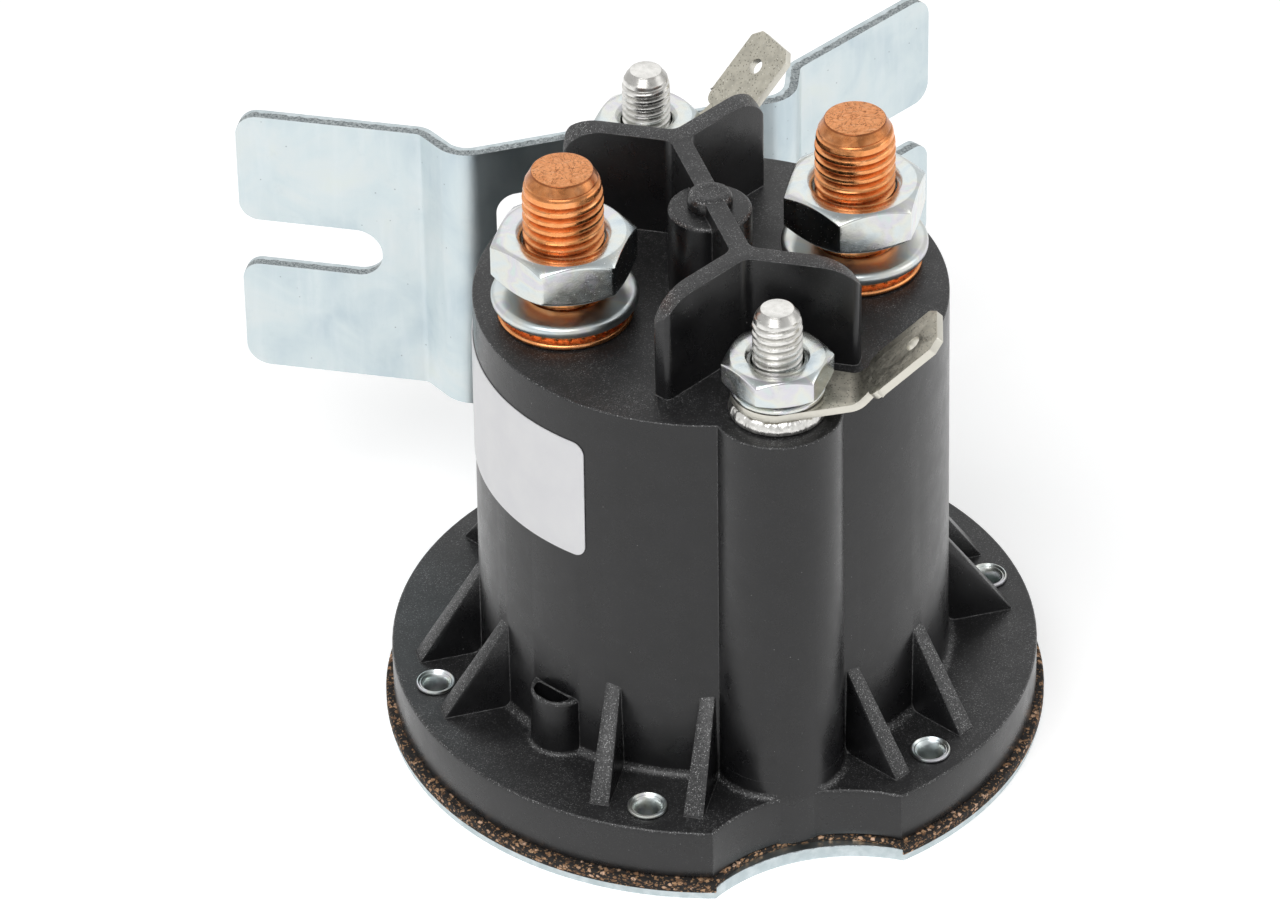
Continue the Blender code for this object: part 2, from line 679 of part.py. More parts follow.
def barrier():
    low = ROOF_TOP - 1.0 * MM
    walls = place("barrier", sheet("barrier", [barrier_plan()], low, BARRIER_CREST))
    reach = (BARRIER_BRANCH + BARRIER_WALL) * math.cos(BARRIER_ANGLE)
    corner = BARRIER_CORNER
    end = BARRIER_BRANCH * math.cos(BARRIER_ANGLE) + BARRIER_WALL / 2 * math.sin(BARRIER_ANGLE)
    side = [
        (-end, low - 1 * MM, 0.0),
        (end, low - 1 * MM, 0.0),
        (end, BARRIER_CREST, corner),
        (-end, BARRIER_CREST, corner),
    ]
    keep = sheet("barrier_corners", [rounded(side)], -2 * reach, 2 * reach)
    keep.transform(Matrix.Rotation(math.pi / 2, 4, "X"))
    combine(walls, place("barrier_corners", keep), "INTERSECT")
    soften = walls.modifiers.new("edges", "BEVEL")
    soften.width = BARRIER_EDGE
    soften.segments = 1
    soften.limit_method = "ANGLE"
    soften.angle_limit = math.radians(50)
    return walls


def hub():
    top = ROOF_TOP + HUB_HEIGHT
    edge = 0.35 * MM
    profile = [(0, top), (HUB_RADIUS - edge, top), (HUB_RADIUS, top - edge)]
    return turned("hub", profile + [(HUB_RADIUS, CEILING + 1 * MM), (0, CEILING + 1 * MM)], 32)


def gate():
    """The small dished disc where the barrier's stem crosses the axis."""
    top = BARRIER_CREST + GATE_PROUD
    low = top - GATE_THICKNESS
    profile = [
        (0.0, top - GATE_DISH),
        (GATE_DISH_RADIUS, top - GATE_DISH),
        (GATE_DISH_RADIUS + 0.15 * MM, top),
        (GATE_RADIUS, top),
        (GATE_RADIUS, low),
        (0.0, low),
    ]
    return turned("gate", profile, 20)


def cavity():
    """All that is hollow in the housing: the chamber, the coil channels and the stud seats."""
    ledge = FLUX_TOP + STACK_GAP
    below = FLANGE_BOTTOM - 1 * MM
    above = ROOF_TOP + 1 * MM
    profile = [
        (0.0, CEILING),
        (CHAMBER_BORE, CEILING),
        (CHAMBER_BORE, ledge),
        (WALL_BORE, ledge),
        (WALL_BORE, below),
        (0.0, below),
    ]
    chamber = turned("chamber", profile, 72)
    for side, sign in coil_sides():
        high = ROOF_TOP - CHANNEL_ROOF
        bore = COIL_THREAD / 2 + SEAT_GAP
        channel = [(0.0, above), (bore, above), (bore, high), (CHANNEL_RADIUS, high)]
        channel += [(CHANNEL_RADIUS, below), (0.0, below)]
        cutter = turned(f"{side}_channel", channel, 24, None, (0, sign * COIL_PLACE, 0))
        cutter.rotation_euler.z = math.radians(7.5)
        combine(chamber, cutter, "UNION")
    for side, sign in power_sides():
        spot = (sign * POWER_SPACING / 2, 0, 0)
        bore = POWER_SHANK + SEAT_GAP
        seat = pin(f"{side}_power_seat", bore, CEILING - 1 * MM, above, 32, spot)
        combine(chamber, seat, "UNION")
    return chamber


def housing(finish):
    flange = notched_disc("housing", FLANGE_RADIUS, FLANGE_BOTTOM, FLANGE_TOP)
    shell = place("housing", flange, finish)
    combine(shell, flange_edge_helper(), "INTERSECT")
    combine(shell, turned("body_wall", wall_profile(), 72), "UNION")
    for side, sign in coil_sides():
        profile = [(0, ROOF_TOP), (BOSS_RADIUS, ROOF_TOP)]
        profile += [(BOSS_FOOT_RADIUS, FLANGE_BOTTOM), (0, FLANGE_BOTTOM)]
        boss = turned(f"{side}_boss", profile, 40, None, (0, sign * COIL_PLACE, 0))
        combine(shell, boss, "UNION")
    combine(shell, ribs(), "UNION")
    outer, recess = pocket()
    combine(shell, outer, "UNION")
    combine(shell, recess, "DIFFERENCE")
    combine(shell, hub(), "UNION")
    combine(shell, barrier(), "UNION")
    combine(shell, gate(), "UNION")
    combine(shell, cavity(), "DIFFERENCE")
    combine(shell, eyelet_bores("flange_bores", 0.0, FLANGE_TOP + 1 * MM), "DIFFERENCE")


def eyelets(finish):
    """Tubular rivets: a flat head under the plate and a rolled rim on the flange."""
    low = EYELET_CLEARANCE
    head_top = low + EYELET_HEAD_THICKNESS
    seat = FLANGE_TOP + SEAT_GAP
    rim_top = seat + EYELET_ROLL
    lip = 0.25 * MM
    profile = [
        (EYELET_BORE, rim_top - lip),
        (EYELET_BORE + lip, rim_top),
        (EYELET_RIM - lip, rim_top),
        (EYELET_RIM, rim_top - lip),
        (EYELET_RIM, seat),
        (EYELET_BARREL, seat),
        (EYELET_BARREL, head_top),
        (EYELET_HEAD, head_top),
        (EYELET_HEAD, low),
        (EYELET_BORE, low),
    ]
    for number, angle in enumerate(eyelet_angles(), 1):
        spot = (EYELET_CIRCLE * math.cos(angle), EYELET_CIRCLE * math.sin(angle), 0)
        eyelet = turned(f"eyelet_{number}", profile, 16, finish, spot, closed=True)
        eyelet.rotation_euler.z = angle


def side_label(finish):
    """The sticker, made flat and wrapped on the drafted wall."""
    radius = BODY_RADIUS + DRAFT * (ROOF_TOP - LABEL_BOTTOM) + LABEL_GAP
    corners = [
        (0.0, LABEL_BOTTOM, LABEL_CORNER),
        (LABEL_LENGTH, LABEL_BOTTOM, LABEL_CORNER),
        (LABEL_LENGTH, LABEL_TOP, LABEL_CORNER),
        (0.0, LABEL_TOP, LABEL_CORNER),
    ]
    mesh = sheet("side_label", [rounded(corners)], 0.0, LABEL_THICKNESS)
    strips = 18

    def wrap(work):
        for k in range(1, strips):
            geometry = work.verts[:] + work.edges[:] + work.faces[:]
            bmesh.ops.bisect_plane(
                work,
                geom=geometry,
                dist=0.0005 * MM,
                plane_co=(LABEL_LENGTH * k / strips, 0, 0),
                plane_no=(1, 0, 0),
            )
        for vertex in work.verts:
            along, height, out = vertex.co
            slope = DRAFT * (height - LABEL_BOTTOM)
            reach = radius - slope + out
            angle = LABEL_RIGHT - along / radius
            vertex.co = (reach * math.cos(angle), reach * math.sin(angle), height)
        bmesh.ops.recalc_face_normals(work, faces=work.faces[:])

    place("side_label", edit(mesh, wrap), finish)


def power_stud(side, sign, finish):
    top = ROOF_TOP + POWER_TOP
    thread = POWER_THREAD / 2
    knurl_top = KNURL_BOTTOM + POWER_KNURL_THICKNESS
    collar = arc((POWER_COLLAR - POWER_COLLAR_THICKNESS / 2,
                  COLLAR_BOTTOM + POWER_COLLAR_THICKNESS / 2),
                 POWER_COLLAR_THICKNESS / 2, math.pi / 2, -math.pi / 2, math.radians(45))
    profile = [
        (0, top),
        (POWER_TIP / 2, top),
        (thread - 0.25 * MM, top - POWER_LEAD),
        (thread, top - POWER_LEAD - 0.3 * MM),
        (thread, knurl_top),
        (POWER_KNURL, knurl_top),
        (POWER_KNURL, KNURL_BOTTOM),
    ]
    profile += [tuple(p) for p in collar]
    profile += [
        (POWER_SHANK, COLLAR_BOTTOM),
        (POWER_SHANK, CEILING - SEAT_GAP),
        (POWER_HEAD, CEILING - SEAT_GAP),
        (POWER_HEAD, HEAD_FACE + 0.3 * MM),
        (POWER_HEAD - 0.3 * MM, HEAD_FACE),
        (0, HEAD_FACE),
    ]
    turned(f"{side}_power_stud", profile, 24, finish, (sign * POWER_SPACING / 2, 0, 0))


def washer(name, outer, bore, low, thickness, finish, at, cone=0.0):
    """A washer with a softened rim; cone lifts its inner edge."""
    soft = thickness * 0.3
    profile = [
        (bore, low + thickness + cone),
        (outer - soft, low + thickness),
        (outer, low + thickness - soft),
        (outer, low + soft),
        (outer - soft, low),
        (bore, low + cone),
    ]
    return turned(name, profile, 28, finish, at, closed=True)


def hex_nut(name, flats, thickness, thread, low, turn, finish, at):
    """A hexagon that a chamfered ring trims to a nut."""
    high = low + thickness
    corner = flats / math.sqrt(3)
    work = bmesh.new()
    bmesh.ops.create_cone(
        work, cap_ends=True, segments=6, radius1=corner, radius2=corner, depth=thickness,
        matrix=Matrix.Translation((0, 0, low + thickness / 2)) @ Matrix.Rotation(turn, 4, "Z")
    )
    mesh = bpy.data.meshes.new(name)
    work.to_mesh(mesh)
    work.free()
    nut = place(name, mesh, finish, at)
    face = flats / 2 * 0.96
    drop = (corner - face) * math.tan(math.radians(30))
    bore = thread / 2 + THREAD_GAP
    sink = 0.45 * MM
    over = 0.5 * MM
    beyond = corner + over
    profile = [
        (bore + sink, high),
        (face, high),
        (beyond, high - drop - over * math.tan(math.radians(30))),
        (beyond, low + drop + over * math.tan(math.radians(30))),
        (face, low),
        (bore + sink, low),
        (bore, low + sink),
        (bore, high - sink),
    ]
    trim = turned(f"{name}_trim", profile, 24, None, at, closed=True)
    combine(nut, trim, "INTERSECT")


def coil_stud(side, sign, finish):
    top = ROOF_TOP + COIL_TOP
    thread = COIL_THREAD / 2
    collar_top = COLLAR_BOTTOM + COIL_COLLAR_THICKNESS
    head_top = ROOF_TOP - CHANNEL_ROOF - SEAT_GAP
    profile = [
        (0, top),
        (COIL_TIP / 2, top),
        (thread, top - COIL_LEAD),
        (thread, collar_top),
        (COIL_COLLAR_TOP, collar_top),
        (COIL_COLLAR - 0.15 * MM, collar_top - 0.6 * MM),
        (COIL_COLLAR, COLLAR_BOTTOM + 0.4 * MM),
        (COIL_COLLAR - 0.4 * MM, COLLAR_BOTTOM),
        (thread, COLLAR_BOTTOM),
        (thread, head_top),
        (COIL_HEAD, head_top),
        (COIL_HEAD, head_top - COIL_HEAD_THICKNESS),
        (0, head_top - COIL_HEAD_THICKNESS),
    ]
    turned(f"{side}_coil_stud", profile, 20, finish, (0, sign * COIL_PLACE, 0))


def spade_tab(side, sign, turn, finish):
    """A flat tab with a ring end, folded up to its blade."""
    half = TAB_BLADE / 2
    neck = TAB_SHOULDER
    ring_end = arc((0, 0), TAB_RING, math.pi / 2, math.pi * 1.5)
    blade = rounded(
        [
            (neck - 0.8 * MM, -TAB_RING, 0.0),
            (neck, -half, 0.0),
            (TAB_TIP - TAB_TIP_CHAMFER, -half, 0.0),
            (TAB_TIP, TAB_TIP_CHAMFER - half, 0.0),
            (TAB_TIP, half - TAB_TIP_CHAMFER, 0.0),
            (TAB_TIP - TAB_TIP_CHAMFER, half, 0.0),
            (neck, half, 0.0),
            (neck - 0.8 * MM, TAB_RING, 0.0),
        ]
    )
    holes = [
        circle(COIL_THREAD / 2 + THREAD_GAP, 24),
        circle(TAB_HOLE / 2, 12, (TAB_TIP - TAB_HOLE_INSET, 0)),
    ]
    mesh = sheet(f"{side}_tab", [ring_end + blade] + holes, 0.0, TAB_SHEET)
    fold(mesh, "X", TAB_FLAT, TAB_BEND, TAB_ANGLE, 1, 5, lambda co: co.x > 0)
    tab = place(f"{side}_tab", mesh, finish, (0, sign * COIL_PLACE, TAB_BOTTOM))
    tab.rotation_euler.z = turn


def yoke_cup(finish):
    floor = YOKE_BOTTOM + YOKE_FLOOR
    top = YOKE_BOTTOM + YOKE_HEIGHT
    inner = YOKE_RADIUS - YOKE_WALL
    profile = [
        (0, floor),
        (inner, floor),
        (inner, top),
        (YOKE_RADIUS, top),
        (YOKE_RADIUS, YOKE_BOTTOM + 1 * MM),
        (YOKE_RADIUS - 1 * MM, YOKE_BOTTOM),
        (0, YOKE_BOTTOM),
    ]
    turned("yoke_cup", profile, 40, finish)


def lead_notches(name, low, high):
    """Two slots, front and rear, that let the coil's leads pass."""
    work = bmesh.new()
    outer = FLUX_PLATE_RADIUS + 1 * MM
    inner = LEAD_START - LEAD_NOTCH / 2
    for _, sign in coil_sides():
        size = Matrix.Diagonal((LEAD_NOTCH, outer - inner, high - low, 1))
        spot = Matrix.Translation((0, sign * (outer + inner) / 2, (low + high) / 2))
        bmesh.ops.create_cube(work, size=1.0, matrix=spot @ size)
    mesh = bpy.data.meshes.new(name)
    work.to_mesh(mesh)
    work.free()
    return place(name, mesh)


def top_flux_plate(finish):
    bore = PLUNGER_RADIUS + SEAT_GAP
    plate = ring("top_flux_plate", FLUX_PLATE_RADIUS, bore, FLUX_BOTTOM, FLUX_TOP, 40, finish)
    notches = lead_notches("flux_plate_notches", FLUX_BOTTOM - 1 * MM, FLUX_TOP + 1 * MM)
    combine(plate, notches, "DIFFERENCE")


def pole_piece(finish):
    """The fixed core: bored for the rod, with the return spring's pocket in its face."""
    bore = ROD_RADIUS + RUNNING_GAP
    head = PLUNGER_RADIUS + 1.6 * MM
    head_low = FLUX_TOP + SEAT_GAP
    profile = [
        (bore, head_low + 0.9 * MM),
        (head, head_low + 0.9 * MM),
        (head, head_low),
        (PLUNGER_RADIUS, head_low),
        (PLUNGER_RADIUS, POLE_FACE),
        (SPRING_POCKET_RADIUS, POLE_FACE),
        (SPRING_POCKET_RADIUS, POLE_FACE + SPRING_POCKET_DEPTH),
        (bore, POLE_FACE + SPRING_POCKET_DEPTH),
    ]
    turned("pole_piece", profile, 24, finish, closed=True)


def coil_bobbin(finish):
    tube = BOBBIN_BORE + BOBBIN_TUBE
    low, high = BOBBIN_BOTTOM, BOBBIN_TOP
    flange = BOBBIN_FLANGE_THICKNESS
    profile = [
        (BOBBIN_BORE, high),
        (BOBBIN_FLANGE, high),
        (BOBBIN_FLANGE, high - flange),
        (tube, high - flange),
        (tube, low + flange),
        (BOBBIN_FLANGE, low + flange),
        (BOBBIN_FLANGE, low),
        (BOBBIN_BORE, low),
    ]
    bobbin = turned("coil_bobbin", profile, 32, finish, closed=True)
    notches = lead_notches("bobbin_notches", high - 2 * flange, high + flange)
    combine(bobbin, notches, "DIFFERENCE")


def coil_winding(finish):
    inner = BOBBIN_BORE + BOBBIN_TUBE + SEAT_GAP
    low = BOBBIN_BOTTOM + BOBBIN_FLANGE_THICKNESS + SEAT_GAP
    high = BOBBIN_TOP - BOBBIN_FLANGE_THICKNESS - SEAT_GAP
    ring("coil_winding", WINDING_RADIUS, inner, low, high, 32, finish)


def wire(name, points, radius, resolution, finish):
    """A round wire along the points, with filled ends."""
    curve = bpy.data.curves.new(name, "CURVE")
    curve.dimensions = "3D"
    curve.bevel_depth = radius
    curve.bevel_resolution = resolution
    curve.use_fill_caps = True
    spline = curve.splines.new("POLY")
    spline.points.add(len(points) - 1)
    for point, spot in zip(spline.points, points):
        point.co = (*spot, 1.0)
    thing = bpy.data.objects.new(name, curve)
    curve.materials.append(material(name, finish))
    PARTS.objects.link(thing)
    return thing


def coil_lead(side, sign, finish):
    """From the winding up through its notches, over the flux plate and up to the stud head."""
    start = BOBBIN_TOP - BOBBIN_FLANGE_THICKNESS + LEAD_RADIUS
    over = FLUX_TOP + 2 * LEAD_RADIUS + RUNNING_GAP
    end = ROOF_TOP - CHANNEL_ROOF - SEAT_GAP - COIL_HEAD_THICKNESS - RUNNING_GAP
    bend = 1.5 * MM
    points = [(LEAD_START, start), (LEAD_START, over - bend)]
    points += [tuple(p) for p in arc((LEAD_START + bend, over - bend), bend, math.pi, math.pi / 2)][1:]
    rise = arc((COIL_PLACE - bend, over + bend), bend, -math.pi / 2, 0.0)
    points += [tuple(p) for p in rise] + [(COIL_PLACE, end)]
    wire(f"{side}_coil_lead", [(0, sign * y, z) for y, z in points], LEAD_RADIUS, 2, finish)


def spring(name, low, high, coil_radius, wire_radius, turns, finish):
    """A compression spring whose end turns lie flat."""
    per_turn = 12
    count = per_turn * (turns + 2)
    bottom, top = low + wire_radius, high - wire_radius
    pitch_low, pitch_high = bottom + 2.1 * wire_radius, top - 2.1 * wire_radius
    points = []
    for k in range(count + 1):
        turn = k / per_turn
        if turn < 1:
            z = bottom + (pitch_low - bottom) * turn
        elif turn > turns + 1:
            z = pitch_high + (top - pitch_high) * (turn - turns - 1)
        else:
            z = pitch_low + (pitch_high - pitch_low) * (turn - 1) / turns
        angle = math.tau * turn
        points.append((coil_radius * math.cos(angle), coil_radius * math.sin(angle), z))
    wire(name, points, wire_radius, 1, finish)


def plunger(finish):
    """The armature, bored from above for its rod."""
    low = BOBBIN_BOTTOM + PLUNGER_BOTTOM
    high = low + PLUNGER_LENGTH
    edge = 0.4 * MM
    bore = ROD_RADIUS + SEAT_GAP
    floor = low + ROD_SEAT - SEAT_GAP
    profile = [
        (0, floor),
        (bore, floor),
        (bore, high),
        (PLUNGER_RADIUS - edge, high),
        (PLUNGER_RADIUS, high - edge),
        (PLUNGER_RADIUS, low + edge),
        (PLUNGER_RADIUS - edge, low),
        (0, low),
    ]
    turned("plunger", profile, 24, finish)


def plunger_rod(finish):
    """The rod, pressed into the plunger below and chamfered at its upper end."""
    low = BOBBIN_BOTTOM + PLUNGER_BOTTOM + ROD_SEAT
    edge = 0.3 * MM
    profile = [(0, ROD_TOP), (ROD_RADIUS - edge, ROD_TOP), (ROD_RADIUS, ROD_TOP - edge)]
    turned("plunger_rod", profile + [(ROD_RADIUS, low), (0, low)], 20, finish)


def armature_pieces():
    plunger(STEEL)
    plunger_rod(STEEL)
    clip_bore = ROD_RADIUS + SEAT_GAP
    clip_top = LOWER_CLIP + CLIP_THICKNESS
    ring("spring_clip", CLIP_RADIUS + CONTACT_WIRE * 2, clip_bore, LOWER_CLIP, clip_top, 24,
         SPRING_STEEL)
    head_low = BUSH_TOP + SEAT_GAP
    ring("rod_clip", CLIP_RADIUS, clip_bore, head_low, head_low + CLIP_THICKNESS, 24, SPRING_STEEL)
    plunger_top = BOBBIN_BOTTOM + PLUNGER_BOTTOM + PLUNGER_LENGTH
    spring("return_spring", plunger_top + SEAT_GAP, POLE_FACE + SPRING_POCKET_DEPTH - SEAT_GAP,
           RETURN_COIL_RADIUS, RETURN_WIRE, RETURN_TURNS, SPRING_STEEL)
    spring("contact_spring", clip_top + SEAT_GAP, BUSH_BOTTOM - SEAT_GAP,
           CONTACT_COIL_RADIUS, CONTACT_WIRE, CONTACT_TURNS, SPRING_STEEL)
    ring("contact_disc", CONTACT_DISC_RADIUS, BUSH_SLEEVE + SEAT_GAP, DISC_BOTTOM, DISC_TOP, 36,
         COPPER)
    bore = ROD_RADIUS + RUNNING_GAP
    flange_top = BUSH_BOTTOM + BUSH_FLANGE_THICKNESS
    profile = [
        (bore, BUSH_TOP),
        (BUSH_SLEEVE, BUSH_TOP),
        (BUSH_SLEEVE, flange_top),
        (BUSH_FLANGE, flange_top),
        (BUSH_FLANGE, BUSH_BOTTOM),
        (bore, BUSH_BOTTOM),
    ]
    turned("disc_bushing", profile, 20, NYLON, closed=True)
    bumper_low = YOKE_BOTTOM + YOKE_FLOOR + SEAT_GAP
    ring("plunger_bumper", BUMPER_RADIUS, BUMPER_BORE, bumper_low, bumper_low + BUMPER, 24, RUBBER)


def build():
    base_bracket(ZINC)
    base_gasket(CORK)
    housing(MOULDING)
    eyelets(BRIGHT_ZINC)
    side_label(PAPER)
    for side, sign in power_sides():
        spot = (sign * POWER_SPACING / 2, 0, 0)
        power_stud(side, sign, COPPER)
        bore = POWER_THREAD / 2 + THREAD_GAP
        washer(f"{side}_power_washer", POWER_WASHER_RADIUS, bore, WASHER_BOTTOM,
               POWER_WASHER_THICKNESS, BRIGHT_ZINC, spot)
        low = ROOF_TOP + POWER_NUT_TOP - POWER_NUT_THICKNESS
        turn = LEFT_NUT_TURN if sign < 0 else RIGHT_NUT_TURN
        hex_nut(f"{side}_power_nut", POWER_NUT_FLATS, POWER_NUT_THICKNESS, POWER_THREAD,
                low, turn, BRIGHT_ZINC, spot)
    for (side, sign), turn in zip(coil_sides(), (FRONT_TAB_TURN, REAR_TAB_TURN)):
        spot = (0, sign * COIL_PLACE, 0)
        coil_stud(side, sign, TIN)
        spade_tab(side, sign, turn, TAB_TIN)
        washer(f"{side}_lock_washer", LOCK_WASHER_RADIUS, COIL_THREAD / 2 + THREAD_GAP,
               LOCK_WASHER_BOTTOM, LOCK_WASHER_THICKNESS, BRIGHT_ZINC, spot, LOCK_WASHER_CONE)
        hex_nut(f"{side}_coil_nut", COIL_NUT_FLATS, COIL_NUT_THICKNESS, COIL_THREAD,
                COIL_NUT_BOTTOM, COIL_NUT_TURN, BRIGHT_ZINC, spot)
        coil_lead(side, sign, ENAMEL)
    yoke_cup(STEEL)
    top_flux_plate(STEEL)
    pole_piece(STEEL)
    coil_bobbin(NYLON)
    coil_winding(ENAMEL)
    ring("plunger_sleeve", SLEEVE_RADIUS, SLEEVE_RADIUS - SLEEVE_WALL, BOBBIN_BOTTOM + 0.05 * MM,
         BOBBIN_TOP, 32, BRASS)
    armature_pieces()


def main():
    global PARTS, HELPERS
    for thing in list(bpy.data.objects):
        bpy.data.objects.remove(thing)
    PARTS = bpy.data.collections.new("starter_relay")
    HELPERS = bpy.data.collections.new("cutters")
    bpy.context.scene.collection.children.link(PARTS)
    bpy.context.scene.collection.children.link(HELPERS)
    build()


main()
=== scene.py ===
import math

import bmesh
import bpy
from mathutils import Matrix, Vector


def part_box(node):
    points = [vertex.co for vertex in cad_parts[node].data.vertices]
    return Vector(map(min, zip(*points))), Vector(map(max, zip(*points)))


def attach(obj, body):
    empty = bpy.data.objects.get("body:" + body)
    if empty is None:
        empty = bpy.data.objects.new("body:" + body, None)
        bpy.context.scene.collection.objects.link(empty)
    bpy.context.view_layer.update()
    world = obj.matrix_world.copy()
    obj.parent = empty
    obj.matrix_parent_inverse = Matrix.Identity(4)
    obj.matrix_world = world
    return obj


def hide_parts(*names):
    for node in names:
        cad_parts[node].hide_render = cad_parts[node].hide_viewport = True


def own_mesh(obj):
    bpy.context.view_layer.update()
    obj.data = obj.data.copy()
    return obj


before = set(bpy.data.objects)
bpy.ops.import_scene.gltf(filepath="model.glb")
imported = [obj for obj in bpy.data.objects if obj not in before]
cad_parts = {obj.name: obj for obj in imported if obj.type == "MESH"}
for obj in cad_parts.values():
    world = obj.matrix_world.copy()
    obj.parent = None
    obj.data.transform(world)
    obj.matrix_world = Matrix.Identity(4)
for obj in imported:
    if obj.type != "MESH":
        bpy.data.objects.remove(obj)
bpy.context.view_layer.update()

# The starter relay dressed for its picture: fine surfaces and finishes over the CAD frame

MM = 0.001
TAU = math.tau

# Sizes of the CAD model, in metres; the cork is drawn squeezed, between the flange and the plate
SHEET = 1.4 * MM
FLANGE_LOW, FLANGE_HIGH = 1.98 * MM, 7.63 * MM
FLANGE_RADIUS = 32.73 * MM
PLATE_RADIUS = 33.4 * MM
GASKET_RADIUS = 33.55 * MM
GASKET_LOW, GASKET_HIGH = 0.8 * MM, 1.96 * MM
NOTCH = 9.73 * MM
SCALLOP_FLOOR = 28.0 * MM
PLATE_SCALLOP_FLOOR = 29.0 * MM
EYELET_CIRCLE = 29.28 * MM
ROOF = 50.04 * MM
CEILING = 46.94 * MM
BODY_RADIUS = 23.39 * MM
DRAFT = 0.0085
COIL_PLACE = 21.8 * MM
POWER_PLACE = 14.8 * MM
BARRIER_CREST = 61.04 * MM
PANEL_FRONT = 29.4 * MM
PANEL_HALF = 16.6 * MM
PANEL_LOW, PANEL_HIGH = 19.4 * MM, 50.1 * MM
JOGGLE = math.radians(68.0)
EAR = math.radians(28.5)

COIL_SIDES = (("front", -1), ("rear", 1))
POWER_SIDES = (("left", -1), ("right", 1))


# Outlines and surfaces

def arc(centre, radius, first, last, step):
    count = max(1, math.ceil(abs(last - first) / math.radians(step)))
    turns = [first + (last - first) * k / count for k in range(count + 1)]
    return [Vector(centre) + radius * Vector((math.cos(a), math.sin(a))) for a in turns]


def rounded(corners, step=9.0, closed=True):
    """An outline whose corners, each (x, y, radius), become arcs."""
    outline = []
    for i, (x, y, radius) in enumerate(corners):
        corner = Vector((x, y))
        ends = not closed and i in (0, len(corners) - 1)
        if radius <= 0 or ends:
            outline.append(corner)
            continue
        before = (Vector(corners[i - 1][:2]) - corner).normalized()
        after = (Vector(corners[(i + 1) % len(corners)][:2]) - corner).normalized()
        half = before.angle(after) / 2
        centre = corner + (before + after).normalized() * radius / math.sin(half)
        start = corner + before * radius / math.tan(half) - centre
        end = corner + after * radius / math.tan(half) - centre
        turn = math.atan2(start.x * end.y - start.y * end.x, start.dot(end))
        first = math.atan2(start.y, start.x)
        outline += arc(centre, radius, first, first + turn, step)
    return outline


def worked(mesh, change):
    work = bmesh.new()
    work.from_mesh(mesh)
    change(work)
    work.to_mesh(mesh)
    work.free()
    return mesh


def cleaned(mesh, angle=30.0, merge=0.0004 * MM):
    """Doubles merged, faces outwards, smooth except over the angle."""
    def clean(work):
        bmesh.ops.remove_doubles(work, verts=work.verts[:], dist=merge)
        bmesh.ops.dissolve_degenerate(work, edges=work.edges[:], dist=merge)
        bmesh.ops.recalc_face_normals(work, faces=work.faces[:])
    worked(mesh, clean)
    mesh.polygons.foreach_set("use_smooth", [True] * len(mesh.polygons))
    mesh.set_sharp_from_angle(angle=math.radians(angle))
    return mesh


def ring_mesh(name, rings, closed=False):
    """A surface over rings of equal length; a ring of one point is a pole."""
    points, rows = [], []
    for ring in rings:
        rows.append(range(len(points), len(points) + len(ring)))
        points += ring
    pairs = list(zip(rows, rows[1:]))
    if closed:
        pairs.append((rows[-1], rows[0]))
    faces = []
    for upper, lower in pairs:
        count = max(len(upper), len(lower))
        for k in range(count):
            n = (k + 1) % count
            if len(upper) == 1:
                faces.append((upper[0], lower[k], lower[n]))
            elif len(lower) == 1:
                faces.append((upper[k], lower[0], upper[n]))
            else:
                faces.append((upper[k], lower[k], lower[n], upper[n]))
    mesh = bpy.data.meshes.new(name)
    mesh.from_pydata([tuple(p) for p in points], [], faces)
    return mesh


def turned(name, profile, steps, centre=(0.0, 0.0), closed=False, angle=30.0):
    """A profile of (radius, height), top to bottom outside, turned about a vertical axis."""
    rings = []
    for radius, height in profile:
        if radius < 1e-9:
            rings.append([(centre[0], centre[1], height)])
            continue
        turns = [TAU * k / steps for k in range(steps)]
        rings.append([(centre[0] + radius * math.cos(a), centre[1] + radius * math.sin(a), height)
                      for a in turns])
    return cleaned(ring_mesh(name, rings, closed), angle)


def plate(name, outlines, low, high, edge=0.0, segments=3, lower_edge=None):
    """A slab of flat outlines, the first outside and the rest holes, with softened rims."""
    curve = bpy.data.curves.new(name, "CURVE")
    curve.dimensions = "2D"
    curve.fill_mode = "BOTH"
    curve.extrude = (high - low) / 2
    for outline in outlines:
        spline = curve.splines.new("POLY")
        spline.points.add(len(outline) - 1)
        for point, spot in zip(spline.points, outline):
            point.co = (spot[0], spot[1], 0.0, 1.0)
        spline.use_cyclic_u = True
    holder = bpy.data.objects.new(name, curve)
    holder.location.z = (low + high) / 2
    bpy.context.scene.collection.objects.link(holder)
    mesh = plain_mesh(holder)
    bpy.data.curves.remove(curve)

    def soften(work):
        bmesh.ops.remove_doubles(work, verts=work.verts[:], dist=0.0004 * MM)
        bmesh.ops.recalc_face_normals(work, faces=work.faces[:])
        lower = edge if lower_edge is None else lower_edge
        for height, width in ((high, edge), (low, lower)):
            if not width:
                continue
            rim = [e for e in work.edges
                   if len(e.link_faces) == 2 and e.calc_face_angle() > 1.2
                   and all(abs(v.co.z - height) < 1e-7 for v in e.verts)]
            bmesh.ops.bevel(work, geom=rim, offset=width, segments=segments, profile=0.5,
                            affect="EDGES", clamp_overlap=True)

    return cleaned(worked(mesh, soften))


def plain_mesh(thing):
    """The object's mesh with its modifiers worked in and its place in its points."""
    bpy.context.view_layer.update()
    graph = bpy.context.evaluated_depsgraph_get()
    mesh = bpy.data.meshes.new_from_object(thing.evaluated_get(graph))
    mesh.transform(thing.matrix_world)
    bpy.data.objects.remove(thing)
    return mesh


def joined(name, meshes):
    """Several meshes as one, without a Boolean."""
    work = bmesh.new()
    for mesh in meshes:
        work.from_mesh(mesh)
    whole = bpy.data.meshes.new(name)
    work.to_mesh(whole)
    work.free()
    return whole


